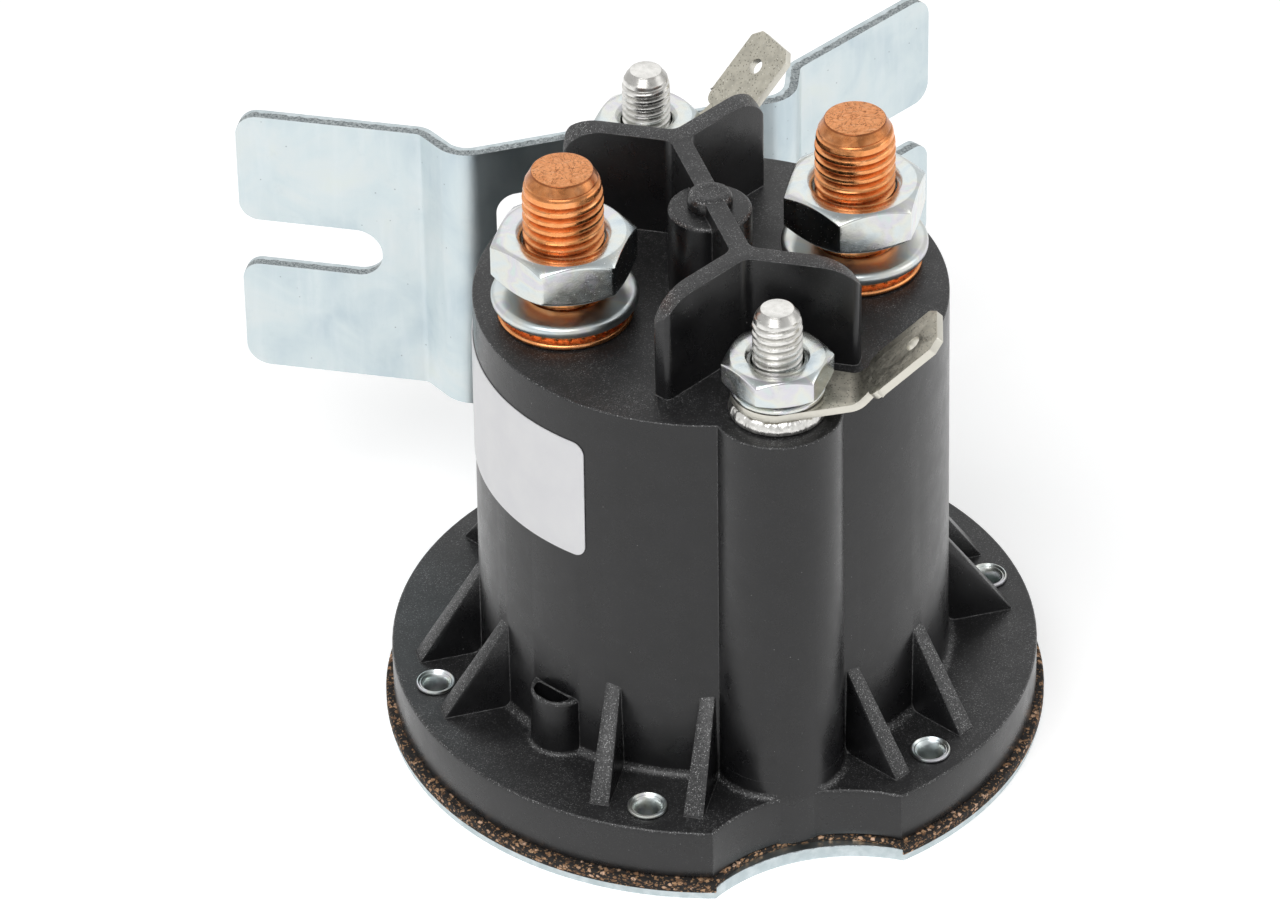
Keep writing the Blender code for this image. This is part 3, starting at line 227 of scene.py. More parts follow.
def cut_and_joined(mesh, steps, angle=30.0):
    """A solid after its steps, each (operation, other solid)."""
    body = bpy.data.objects.new("body", mesh)
    bpy.context.scene.collection.objects.link(body)
    tools = []
    for operation, other in steps:
        tool = bpy.data.objects.new("tool", other)
        bpy.context.scene.collection.objects.link(tool)
        tools.append(tool)
        step = body.modifiers.new("step", "BOOLEAN")
        step.operation = operation
        step.object = tool
        step.solver = "MANIFOLD"
    result = plain_mesh(body)
    for tool in tools:
        bpy.data.objects.remove(tool)
    return cleaned(result, angle)


def placed(name, mesh, finish, body="relay", replaces=()):
    """A finished piece that rides on a CAD body."""
    piece = bpy.data.objects.new(name, mesh)
    bpy.context.scene.collection.objects.link(piece)
    mesh.materials.clear()
    mesh.materials.append(finish)
    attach(piece, body)
    if replaces:
        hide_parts(*replaces)
    return piece


# Geometry Nodes

class NodeSet:
    """Adds and links nodes in one tree; a value may be a number or another node's output."""

    def __init__(self, tree):
        self.tree = tree

    def add(self, kind, settings=(), **inputs):
        node = self.tree.nodes.new(kind)
        for key, value in dict(settings).items():
            setattr(node, key, value)
        for key, value in inputs.items():
            socket = node.inputs[int(key[1:])] if key[0] == "_" else node.inputs[key.replace("_", " ")]
            self.feed(socket, value)
        return node

    def feed(self, socket, value):
        if isinstance(value, bpy.types.NodeSocket):
            self.tree.links.new(value, socket)
        else:
            socket.default_value = value

    def maths(self, operation, first, second=0.0, third=None, clamp=False):
        node = self.add("ShaderNodeMath", {"operation": operation, "use_clamp": clamp})
        self.feed(node.inputs[0], first)
        self.feed(node.inputs[1], second)
        if third is not None:
            self.feed(node.inputs[2], third)
        return node.outputs[0]


def growing_tree(name, sizes):
    """An empty Geometry Nodes tree with named inputs, each (name, socket type, default)."""
    tree = bpy.data.node_groups.new(name, "GeometryNodeTree")
    for label, kind, default in sizes:
        socket = tree.interface.new_socket(label, in_out="INPUT", socket_type=kind)
        if default is not None:
            socket.default_value = default
    tree.interface.new_socket("Geometry", in_out="OUTPUT", socket_type="NodeSocketGeometry")
    return tree, NodeSet(tree), tree.nodes.new("NodeGroupInput").outputs


def end_of(nodes, geometry, material):
    real = nodes.add("GeometryNodeRealizeInstances", Geometry=geometry)
    coated = nodes.add("GeometryNodeSetMaterial", Geometry=real.outputs[0], Material=material)
    nodes.add("NodeGroupOutput", Geometry=coated.outputs[0])


def grown(name, tree, **sizes):
    """The plain mesh that a tree gives for these sizes."""
    holder = bpy.data.objects.new(name, bpy.data.meshes.new(name))
    bpy.context.scene.collection.objects.link(holder)
    growth = holder.modifiers.new(name, "NODES")
    growth.node_group = tree
    for item in tree.interface.items_tree:
        key = item.name.replace(" ", "_").lower()
        if item.in_out == "INPUT" and key in sizes:
            growth[item.identifier] = sizes[key]
    return plain_mesh(holder)


def ring_tree():
    """Copies of a piece turned about a vertical axis."""
    tree, nodes, given = growing_tree("ring_of", (
        ("Piece", "NodeSocketObject", None), ("Count", "NodeSocketInt", 6),
        ("First Angle", "NodeSocketFloat", 0.0), ("Centre", "NodeSocketVector", (0, 0, 0)),
        ("Material", "NodeSocketMaterial", None)))
    spots = nodes.add("GeometryNodePoints", Count=given["Count"], Position=given["Centre"])
    index = nodes.add("GeometryNodeInputIndex")
    share = nodes.maths("DIVIDE", index.outputs[0], given["Count"])
    angle = nodes.maths("MULTIPLY_ADD", share, TAU, given["First Angle"])
    turn = nodes.add("ShaderNodeCombineXYZ", Z=angle)
    piece = nodes.add("GeometryNodeObjectInfo", Object=given["Piece"])
    copies = nodes.add("GeometryNodeInstanceOnPoints", Points=spots.outputs[0],
                       Instance=piece.outputs["Geometry"], Rotation=turn.outputs[0])
    end_of(nodes, copies.outputs[0], given["Material"])
    return tree


def thread_tree():
    """A rolled screw thread whose rows follow the helix, cut to a cone at its tip."""
    tree, nodes, given = growing_tree("screw_thread", (
        ("Radius", "NodeSocketFloat", 4 * MM), ("Pitch", "NodeSocketFloat", MM),
        ("Depth", "NodeSocketFloat", 0.5 * MM), ("Bottom", "NodeSocketFloat", 0.0),
        ("Top", "NodeSocketFloat", 10 * MM), ("Tip Radius", "NodeSocketFloat", 3 * MM),
        ("Tip Slope", "NodeSocketFloat", 0.5), ("Shoulder Radius", "NodeSocketFloat", 3.5 * MM),
        ("Shoulder Slope", "NodeSocketFloat", 0.2), ("Columns", "NodeSocketInt", 97),
        ("Rows", "NodeSocketInt", 200), ("Rows Per Turn", "NodeSocketFloat", 12.0),
        ("Material", "NodeSocketMaterial", None)))
    grid = nodes.add("GeometryNodeMeshGrid", Size_X=1.0, Size_Y=1.0,
                     Vertices_X=given["Columns"], Vertices_Y=given["Rows"])
    place = nodes.add("ShaderNodeSeparateXYZ", Vector=nodes.add("GeometryNodeInputPosition").outputs[0])
    round_share = nodes.maths("ADD", place.outputs["X"], 0.5)
    last_row = nodes.maths("SUBTRACT", given["Rows"], 1.0)
    row = nodes.maths("MULTIPLY", nodes.maths("ADD", place.outputs["Y"], 0.5), last_row)
    turns = nodes.maths("DIVIDE", row, given["Rows Per Turn"])
    phase = nodes.maths("FRACT", nodes.maths("ADD", turns, 0.001))
    from_root = nodes.maths("ABSOLUTE", nodes.maths("SUBTRACT", phase, 0.5))
    groove = nodes.add("ShaderNodeMapRange", {"interpolation_type": "SMOOTHSTEP"}, Value=from_root,
                       From_Min=0.02, From_Max=0.36, To_Min=1.0, To_Max=0.0)
    climb = nodes.maths("SUBTRACT", nodes.maths("ADD", turns, round_share), 1.0)
    height = nodes.maths("MULTIPLY_ADD", climb, given["Pitch"], given["Bottom"])
    height = nodes.maths("MINIMUM", nodes.maths("MAXIMUM", height, given["Bottom"]), given["Top"])
    dug = nodes.maths("MULTIPLY", groove.outputs[0], given["Depth"])
    radius = nodes.maths("SUBTRACT", given["Radius"], dug)
    below_tip = nodes.maths("SUBTRACT", given["Top"], height)
    cone = nodes.maths("MULTIPLY_ADD", below_tip, given["Tip Slope"], given["Tip Radius"])
    radius = nodes.maths("MINIMUM", radius, cone)
    shoulder = nodes.maths("MULTIPLY_ADD", below_tip, given["Shoulder Slope"], given["Shoulder Radius"])
    radius = nodes.maths("MINIMUM", radius, shoulder)
    root = nodes.maths("SUBTRACT", given["Radius"], given["Depth"])
    above_foot = nodes.maths("SUBTRACT", height, given["Bottom"])
    foot = nodes.maths("MULTIPLY_ADD", above_foot, 2.0, root)
    radius = nodes.maths("MINIMUM", radius, foot)
    angle = nodes.maths("MULTIPLY", round_share, TAU)
    spot = nodes.add("ShaderNodeCombineXYZ",
                     X=nodes.maths("MULTIPLY", radius, nodes.maths("COSINE", angle)),
                     Y=nodes.maths("MULTIPLY", radius, nodes.maths("SINE", angle)), Z=height)
    moved = nodes.add("GeometryNodeSetPosition", Geometry=grid.outputs[0], Position=spot.outputs[0])
    end_of(nodes, moved.outputs[0], given["Material"])
    return tree


def spring_tree():
    """Wire wound up the relay's axis, its two end turns closed flat."""
    tree, nodes, given = growing_tree("wound_spring", (
        ("Low", "NodeSocketFloat", 0.0), ("High", "NodeSocketFloat", 10 * MM),
        ("Coil Radius", "NodeSocketFloat", 3 * MM), ("Wire Radius", "NodeSocketFloat", 0.3 * MM),
        ("Open Turns", "NodeSocketFloat", 4.0), ("Material", "NodeSocketMaterial", None)))
    all_turns = nodes.maths("ADD", given["Open Turns"], 2.0)
    line = nodes.add("GeometryNodeCurvePrimitiveLine")
    wire = nodes.add("GeometryNodeResampleCurve", Curve=line.outputs[0],
                     Count=nodes.maths("MULTIPLY", all_turns, 28.0))
    turn = nodes.maths("MULTIPLY", nodes.add("GeometryNodeSplineParameter").outputs[0], all_turns)
    closed_rise = nodes.maths("MULTIPLY", given["Wire Radius"], 2.1)
    first = nodes.maths("MULTIPLY", turn, 1.0, clamp=True)
    last = nodes.maths("SUBTRACT", turn, nodes.maths("SUBTRACT", all_turns, 1.0), clamp=True)
    middle = nodes.maths("DIVIDE", nodes.maths("SUBTRACT", turn, 1.0), given["Open Turns"], clamp=True)
    ends = nodes.maths("ADD", closed_rise, given["Wire Radius"])
    span = nodes.maths("SUBTRACT", nodes.maths("SUBTRACT", given["High"], given["Low"]),
                       nodes.maths("MULTIPLY", ends, 2.0))
    height = nodes.maths("ADD", given["Low"], given["Wire Radius"])
    height = nodes.maths("MULTIPLY_ADD", nodes.maths("ADD", first, last), closed_rise, height)
    height = nodes.maths("MULTIPLY_ADD", middle, span, height)
    angle = nodes.maths("MULTIPLY", turn, TAU)
    spot = nodes.add("ShaderNodeCombineXYZ",
                     X=nodes.maths("MULTIPLY", given["Coil Radius"], nodes.maths("COSINE", angle)),
                     Y=nodes.maths("MULTIPLY", given["Coil Radius"], nodes.maths("SINE", angle)),
                     Z=height)
    wound = nodes.add("GeometryNodeSetPosition", Geometry=wire.outputs[0], Position=spot.outputs[0])
    section = nodes.add("GeometryNodeCurvePrimitiveCircle", Resolution=12,
                        Radius=given["Wire Radius"])
    round_wire = nodes.add("GeometryNodeCurveToMesh", Curve=wound.outputs[0],
                           Profile_Curve=section.outputs[0], Fill_Caps=True)
    end_of(nodes, round_wire.outputs[0], given["Material"])
    return tree


RING = ring_tree()
THREAD = thread_tree()


def ring_of(name, seed, count, first=0.0, centre=(0.0, 0.0, 0.0)):
    """A mesh repeated round a vertical axis through the centre."""
    piece = bpy.data.objects.new("seed", seed)
    bpy.context.scene.collection.objects.link(piece)
    mesh = grown(name, RING, piece=piece, count=count, first_angle=first, centre=centre)
    bpy.data.objects.remove(piece)
    return mesh


def stud_mesh(name, radius, pitch, depth, bottom, top, tip, shoulder, lower, centre):
    """A threaded stud: the thread, its rounded end, and the profile below the thread.

    The tip is (radius, slope) of the end's chamfer, the shoulder the same of the taper below it.
    """
    edge = 0.12 * MM
    columns, per_turn = 96, 12
    rows = per_turn * (math.ceil((top - bottom) / pitch) + 2) + 1
    thread = grown(name, THREAD, radius=radius, pitch=pitch, depth=depth, bottom=bottom,
                   top=top - edge, tip_radius=tip[0], tip_slope=tip[1], shoulder_radius=shoulder[0],
                   shoulder_slope=shoulder[1], columns=columns + 1, rows=rows,
                   rows_per_turn=float(per_turn))
    end = [(0.0, top)]
    end += [tuple(p) for p in arc((tip[0] - edge, top - edge), edge, math.pi / 2, 0.0, 30)]
    cap = turned("cap", end, columns)
    foot = turned("foot", [(radius - depth, bottom)] + lower, columns)
    mesh = joined(name, (thread, cap, foot))
    mesh.transform(Matrix.Translation((*centre, 0.0)))
    return cleaned(mesh, 38.0, 0.002 * MM)


# Finishes

class Paint(NodeSet):
    """A Principled finish whose patterns are laid out in millimetres on Object coordinates."""

    def __init__(self, name, colour, roughness, metallic=0.0, **sockets):
        self.material = bpy.data.materials.new(name)
        self.material.use_nodes = True
        super().__init__(self.material.node_tree)
        self.shader = self.tree.nodes["Principled BSDF"]
        self.set(Base_Color=(*colour, 1.0), Roughness=roughness, Metallic=metallic, **sockets)
        place = self.add("ShaderNodeTexCoord").outputs["Object"]
        self.mm = self.add("ShaderNodeMapping", Vector=place, Scale=(1000, 1000, 1000)).outputs[0]

    def set(self, **sockets):
        for key, value in sockets.items():
            self.feed(self.shader.inputs[key.replace("_", " ")], value)

    def stretched(self, scale, turn=(0.0, 0.0, 0.0)):
        return self.add("ShaderNodeMapping", Vector=self.mm, Scale=scale, Rotation=turn).outputs[0]

    def noise(self, scale, detail=3.0, where=None, rough=0.55, distortion=0.0):
        made = self.add("ShaderNodeTexNoise", Vector=where or self.mm, Scale=scale, Detail=detail,
                        Roughness=rough, Distortion=distortion)
        return made.outputs["Fac"]

    def cells(self, scale, feature="F1", where=None, randomness=1.0):
        return self.add("ShaderNodeTexVoronoi", {"feature": feature}, Vector=where or self.mm,
                        Scale=scale, Randomness=randomness)

    def span(self, value, low, high, to_low=0.0, to_high=1.0):
        return self.add("ShaderNodeMapRange", {"clamp": True}, Value=value, From_Min=low, From_Max=high,
                        To_Min=to_low, To_Max=to_high).outputs[0]

    def blend(self, share, first, second, kind="MIX"):
        node = self.add("ShaderNodeMix", {"data_type": "RGBA", "blend_type": kind})
        self.feed(node.inputs[0], share)
        for socket, colour in ((node.inputs[6], first), (node.inputs[7], second)):
            self.feed(socket, (*colour, 1.0) if isinstance(colour, tuple) and len(colour) == 3 else colour)
        return node.outputs[2]

    def ramp(self, value, stops):
        node = self.add("ShaderNodeValToRGB", Fac=value)
        bar = node.color_ramp.elements
        while len(bar) < len(stops):
            bar.new(0.5)
        for element, (where, colour) in zip(bar, stops):
            element.position = where
            element.color = (*colour, 1.0)
        return node.outputs[0]

    def bump(self, height, depth, strength=1.0, base=None):
        node = self.add("ShaderNodeBump", Height=height, Distance=depth, Strength=strength)
        if base is not None:
            self.feed(node.inputs["Normal"], base)
        return node.outputs[0]

    def attribute(self, name):
        return self.add("ShaderNodeAttribute", {"attribute_name": name}).outputs["Fac"]

    def facing_up(self, low, high):
        """1 where the surface faces up."""
        normal = self.add("ShaderNodeNewGeometry").outputs["Normal"]
        return self.span(self.add("ShaderNodeSeparateXYZ", Vector=normal).outputs[2], low, high)


def moulded_black():
    """Thermoset moulding: near-black, satin, with pale dust on its upper faces and edges, a painted
    highlight on its slanted fillets and rounded edges, and its flange side painted a shade lighter for the
    floor it reflects.
    """
    paint = Paint("moulded_black", (0.006, 0.006, 0.007), 0.3)
    soft = paint.add("ShaderNodeBevel", {"samples": 6}, Radius=0.2 * MM).outputs[0]
    true = paint.add("ShaderNodeNewGeometry").outputs["Normal"]
    square = paint.add("ShaderNodeVectorMath", {"operation": "DOT_PRODUCT"}, _0=soft, _1=true)
    edge = paint.span(square.outputs["Value"], 0.97, 0.80)
    lift = paint.add("ShaderNodeSeparateXYZ", Vector=true).outputs[2]
    upper = paint.span(lift, 0.30, 0.90)
    slanted = paint.maths("MULTIPLY", paint.span(lift, 0.10, 0.32), paint.span(lift, 0.995, 0.90))
    patch = paint.span(paint.noise(0.22, 5.0, rough=0.65), 0.36, 0.62, 0.25, 1.0)
    low = paint.add("ShaderNodeSeparateXYZ", Vector=paint.mm).outputs[2]
    dust_and_sheen = paint.maths("MAXIMUM", paint.maths("MULTIPLY", upper, 0.75), edge)
    dust_and_sheen = paint.maths("MAXIMUM", dust_and_sheen, paint.span(low, 7.0, 8.5, 0.22, 0.06))
    crest = paint.span(low, 57.0, 60.5, 1.0, 1.7)
    dust_and_sheen = paint.maths("MULTIPLY", paint.maths("MULTIPLY", dust_and_sheen, patch), crest)
    # Painted highlight: slanted faces, the fillets and rounded edges, are painted paler, so the film, the
    # powder dots and the flecks below show a painted highlight as well as dust.
    dust_and_sheen = paint.maths("MULTIPLY_ADD", slanted, 1.1, dust_and_sheen)
    powder = paint.cells(7.5)
    mix = paint.add("ShaderNodeSeparateColor", Color=powder.outputs["Color"])
    dot = paint.span(powder.outputs["Distance"], 0.25, 0.50, 1.0, 0.0)
    weight = paint.maths("POWER", mix.outputs[0], 2.6)
    powder_and_sheen = paint.maths("MULTIPLY", paint.maths("MULTIPLY", dot, weight), dust_and_sheen)
    specks = paint.cells(2.6)
    kind = paint.add("ShaderNodeSeparateColor", Color=specks.outputs["Color"])
    near = paint.span(specks.outputs["Distance"], 0.07, 0.15, 1.0, 0.0)
    bar = paint.maths("MULTIPLY_ADD", dust_and_sheen, -0.10, 0.975)
    shown = paint.maths("GREATER_THAN", kind.outputs[0], bar)
    fleck = paint.maths("MULTIPLY", paint.maths("MULTIPLY", near, shown),
                        paint.span(kind.outputs[1], 0.2, 1.0, 0.10, 0.6))
    cloud = paint.noise(0.35, 4.0)
    base = paint.ramp(cloud, ((0.3, (0.0045, 0.0045, 0.005)), (0.7, (0.0085, 0.0085, 0.0095))))
    film = paint.span(paint.noise(5.0, 4.0, rough=0.7), 0.40, 0.75, 0.0, 0.09)
    # The pale film follows the dust and the painted highlight on slanted faces.
    film = paint.maths("MULTIPLY", film, dust_and_sheen)
    scuffed = paint.maths("MULTIPLY", edge, paint.span(paint.noise(2.2, 5.0), 0.40, 0.68, 0.05, 0.34))
    pale = paint.maths("MAXIMUM", paint.maths("MAXIMUM", film, scuffed),
                       paint.maths("MULTIPLY", powder_and_sheen, 0.55))
    # Painted reflection: below 7.6 mm the flange's side is painted a shade lighter, standing for the white
    # floor reflected in it.
    pale = paint.maths("MAXIMUM", pale, paint.span(low, 7.0, 7.6, 0.018, 0.0))
    base = paint.blend(paint.maths("MAXIMUM", pale, fleck), base, (0.58, 0.58, 0.58))
    paint.set(Base_Color=base)
    gloss = paint.span(paint.noise(0.4, 4.0), 0.3, 0.7, 0.24, 0.34)
    paint.set(Roughness=paint.maths("MULTIPLY_ADD", upper, 0.14, gloss))
    fine = paint.bump(paint.noise(6.5, 3.0), 0.012 * MM, 0.8, soft)
    paint.set(Normal=paint.bump(paint.noise(0.7, 2.0), 0.03 * MM, 0.5, fine))
    return paint.material


def zinc_sheet():
    """Cold blue-white zinc on rolled sheet; its sheared edge has a torn and a rolled band."""
    paint = Paint("zinc_sheet", (0.63, 0.70, 0.73), 0.2, 1.0)
    cloud = paint.noise(0.12, 4.0, distortion=0.6)
    streak = paint.noise(0.9, 4.0, paint.stretched((1.0, 1.0, 0.12)))
    face = paint.ramp(cloud, ((0.3, (0.53, 0.62, 0.66)), (0.5, (0.62, 0.70, 0.72)),
                              (0.62, (0.66, 0.72, 0.73)), (0.78, (0.68, 0.73, 0.70))))
    face = paint.blend(paint.span(streak, 0.48, 0.75, 0.0, 0.30), face, (0.74, 0.79, 0.81))
    stain = paint.span(paint.noise(0.45, 6.0, rough=0.7), 0.58, 0.74, 0.0, 0.22)
    face = paint.blend(stain, face, (0.45, 0.54, 0.58))
    pits = paint.cells(0.75)
    rare = paint.add("ShaderNodeSeparateColor", Color=pits.outputs["Color"])
    pitted = paint.span(pits.outputs["Distance"], 0.03, 0.08, 0.75, 0.0)
    pitted = paint.maths("MULTIPLY", pitted, paint.maths("GREATER_THAN", rare.outputs[0], 0.55))
    face = paint.blend(pitted, face, (0.22, 0.26, 0.29))
    rim = paint.attribute("rim")
    depth = paint.attribute("depth")
    low = paint.add("ShaderNodeSeparateXYZ", Vector=paint.mm).outputs[2]
    start = paint.span(low, 1.6, 4.0, 0.93, 0.34)
    ragged = paint.maths("MULTIPLY_ADD", paint.noise(1.3, 4.0), 0.5, paint.maths("SUBTRACT", depth, 0.25))
    torn = paint.maths("MULTIPLY", rim, paint.span(paint.maths("SUBTRACT", ragged, start), 0.0, 0.06))
    crumbs = paint.noise(4.5, 5.0, rough=0.8)
    broken = paint.ramp(crumbs, ((0.34, (0.05, 0.055, 0.06)), (0.44, (0.24, 0.27, 0.28)),
                                 (0.56, (0.46, 0.50, 0.51)), (0.70, (0.74, 0.79, 0.79))))
    rolled = paint.blend(paint.span(paint.noise(1.0, 4.0), 0.4, 0.7), (0.50, 0.57, 0.59),
                         (0.64, 0.70, 0.72))
    colour = paint.blend(rim, face, rolled)
    paint.set(Base_Color=paint.blend(torn, colour, broken))
    smooth = paint.span(paint.noise(0.25, 4.0), 0.3, 0.7, 0.31, 0.40)
    rough = paint.maths("MULTIPLY", torn, 0.18)
    paint.set(Roughness=paint.maths("ADD", smooth, rough))
    peel = paint.bump(paint.noise(1.1, 2.0), 0.012 * MM, 0.35)
    peel = paint.bump(paint.noise(0.22, 1.0), 0.05 * MM, 0.25, peel)
    peel = paint.bump(paint.noise(7.0, 3.0, rough=0.7), 0.014 * MM, 0.7, peel)
    paint.set(Normal=paint.bump(crumbs, 0.08 * MM, torn, peel))
    return paint.material


def bright_zinc(name="bright_zinc", roughness=0.2):
    """Bright zinc on turned hardware, lightly dusted, with a faint rainbow in its clear film."""
    paint = Paint(name, (0.70, 0.74, 0.75), roughness, 1.0)
    film = paint.noise(0.28, 2.0, distortion=0.6)
    colour = paint.ramp(film, ((0.25, (0.55, 0.62, 0.66)), (0.42, (0.64, 0.69, 0.69)),
                               (0.52, (0.68, 0.69, 0.64)), (0.60, (0.64, 0.63, 0.67)),
                               (0.70, (0.58, 0.67, 0.64)), (0.8, (0.62, 0.67, 0.69))))
    stain = paint.span(paint.noise(1.2, 5.0), 0.60, 0.80, 0.0, 0.30)
    colour = paint.blend(stain, colour, (0.42, 0.45, 0.46))
    specks = paint.cells(4.5)
    kind = paint.add("ShaderNodeSeparateColor", Color=specks.outputs["Color"])
    near = paint.span(specks.outputs["Distance"], 0.10, 0.22, 0.7, 0.0)
    dust = paint.maths("MULTIPLY", near, paint.maths("GREATER_THAN", kind.outputs[0], 0.80))
    paint.set(Base_Color=paint.blend(dust, colour, (0.86, 0.88, 0.88)))
    worn = paint.span(paint.noise(1.2, 5.0), 0.35, 0.75, roughness - 0.04, roughness + 0.08)
    paint.set(Roughness=paint.maths("MULTIPLY_ADD", dust, 0.4, worn))
    lathe = paint.noise(2.2, 3.0, paint.stretched((1.0, 1.0, 2.5)))
    paint.set(Normal=paint.bump(paint.noise(5.0, 3.0), 0.004 * MM, 0.5,
                                paint.bump(lathe, 0.006 * MM, 0.25)))
    return paint.material


def thread_roots(paint, crest, root, spots):
    """1 in the roots of the threads on the axes at plus and minus the spot, in millimetres."""
    place = paint.add("ShaderNodeSeparateXYZ", Vector=paint.mm)
    across = [paint.maths("SUBTRACT", paint.maths("ABSOLUTE", place.outputs[k]), spot)
              for k, spot in enumerate(spots)]
    squares = [paint.maths("MULTIPLY", value, value) for value in across]
    reach = paint.maths("SQRT", paint.maths("ADD", *squares))
    return paint.span(reach, crest, root)


def bare_copper():
    """Rolled copper: bright crests, roots darkened with oxide and painted shade, a painted shade under the
    top rim, and scratched flat ends.
    """
    paint = Paint("bare_copper", (0.88, 0.37, 0.14), 0.2, 1.0)
    tone = paint.noise(0.9, 4.0)
    colour = paint.ramp(tone, ((0.3, (0.78, 0.29, 0.095)), (0.55, (0.90, 0.38, 0.15)),
                               (0.8, (0.96, 0.49, 0.25))))
    # Painted shade: the thread roots are painted dark brown, partly the oxide the copper has in its
    # hollows and partly the shade that falls in them.
    root_shade = paint.maths("MULTIPLY", thread_roots(paint, 3.75, 3.52, (14.8, 0.0)),
                        paint.span(paint.noise(1.0, 4.0), 0.35, 0.6, 0.30, 0.60))
    low = paint.add("ShaderNodeSeparateXYZ", Vector=paint.mm).outputs[2]
    root_shade = paint.maths("MULTIPLY", root_shade, paint.span(low, 51.2, 51.6))
    up = paint.facing_up(0.85, 0.98)
    root_shade = paint.maths("MULTIPLY", root_shade, paint.maths("SUBTRACT", 1.0, up))
    colour = paint.blend(root_shade, colour, (0.16, 0.045, 0.015))
    mottle = paint.noise(1.5, 6.0, rough=0.7, distortion=1.6)
    dull = paint.ramp(mottle, ((0.30, (0.34, 0.11, 0.035)), (0.40, (0.76, 0.31, 0.12)),
                               (0.58, (0.90, 0.41, 0.18)), (0.8, (0.95, 0.52, 0.29))))
    scratch = paint.noise(3.0, 4.0, paint.stretched((0.25, 2.2, 1.0), (0.0, 0.0, 0.6)))
    dull = paint.blend(paint.span(scratch, 0.60, 0.72, 0.0, 0.55), dull, (0.97, 0.66, 0.44))
    wander = paint.maths("ABSOLUTE", paint.maths("SUBTRACT", paint.noise(0.55, 4.0, distortion=2.5), 0.5))
    dull = paint.blend(paint.span(wander, 0.006, 0.022, 0.8, 0.0), dull, (0.26, 0.08, 0.025))
    # Painted shade: a dark band is painted round the stud just under its top rim.
    rim_shade = paint.maths("MULTIPLY", paint.span(low, 66.58, 66.66), paint.maths("SUBTRACT", 1.0, up))
    colour = paint.blend(paint.maths("MULTIPLY", rim_shade, 0.8), colour, (0.26, 0.08, 0.03))
    paint.set(Base_Color=paint.blend(up, colour, dull))
    shine = paint.span(paint.noise(1.4, 4.0), 0.3, 0.7, 0.20, 0.33)
    paint.set(Roughness=paint.maths("MULTIPLY_ADD", up, 0.16, shine))
    scratched = paint.bump(paint.maths("ADD", mottle, scratch), 0.06 * MM,
                           paint.maths("MULTIPLY", up, 0.8))
    paint.set(Normal=paint.bump(paint.noise(2.5, 3.0), 0.015 * MM, 0.5, scratched))
    return paint.material


def bright_tin():
    """Tin plate on the coil studs and their collars, with painted shade in the thread's roots above 56 mm.
    """
    paint = Paint("bright_tin", (0.75, 0.74, 0.71), 0.28, 1.0)
    tone = paint.noise(1.5, 4.0)
    colour = paint.ramp(tone, ((0.3, (0.66, 0.65, 0.62)), (0.5, (0.78, 0.77, 0.74)),
                               (0.8, (0.86, 0.85, 0.82))))
    low = paint.add("ShaderNodeSeparateXYZ", Vector=paint.mm).outputs[2]
    # Painted shade: above 56 mm the thread roots are painted grey, standing for the shade that falls in
    # them.
    root_shade = paint.maths("MULTIPLY", thread_roots(paint, 2.24, 2.10, (0.0, 21.8)),
                        paint.span(low, 56.0, 56.3, 0.0, 0.45))
    up = paint.facing_up(0.85, 0.98)
    root_shade = paint.maths("MULTIPLY", root_shade, paint.maths("SUBTRACT", 1.0, up))
    paint.set(Base_Color=paint.blend(root_shade, colour, (0.16, 0.155, 0.145)))
    paint.set(Roughness=paint.span(paint.noise(2.0, 4.0), 0.3, 0.7, 0.24, 0.38))
    dents = paint.maths("MULTIPLY", paint.span(low, 51.7, 51.5), 0.9)
    staked = paint.bump(paint.noise(0.9, 2.0, paint.stretched((1.0, 1.0, 0.35))), 0.5 * MM, dents)
    paint.set(Normal=paint.bump(paint.noise(3.0, 4.0), 0.02 * MM, 0.5, staked))
    return paint.material


def tab_plate():
    """Dull brownish tin plate with dark pin-specks; the sheared edges are brighter."""
    paint = Paint("tab_plate", (0.50, 0.48, 0.42), 0.34, 1.0)
    tone = paint.noise(1.1, 5.0)
    face = paint.ramp(tone, ((0.3, (0.46, 0.44, 0.375)), (0.5, (0.55, 0.525, 0.445)),
                             (0.75, (0.65, 0.62, 0.53))))
    pin = paint.cells(4.2)
    kind = paint.add("ShaderNodeSeparateColor", Color=pin.outputs["Color"])
    dots = paint.span(pin.outputs["Distance"], 0.22, 0.42, 0.75, 0.0)
    dark = paint.maths("MULTIPLY", dots, paint.maths("GREATER_THAN", kind.outputs[0], 0.45))
    face = paint.blend(dark, face, (0.16, 0.15, 0.12))
    lit = paint.maths("MULTIPLY", dots, paint.maths("GREATER_THAN", kind.outputs[1], 0.75))
    face = paint.blend(lit, face, (0.78, 0.76, 0.68))
    rim = paint.attribute("rim")
    paint.set(Base_Color=paint.blend(rim, face, (0.66, 0.64, 0.57)))
    paint.set(Roughness=paint.span(paint.noise(2.2, 4.0), 0.3, 0.7, 0.34, 0.46))
    paint.set(Normal=paint.bump(paint.noise(5.0, 4.0), 0.03 * MM, 0.8))
    return paint.material


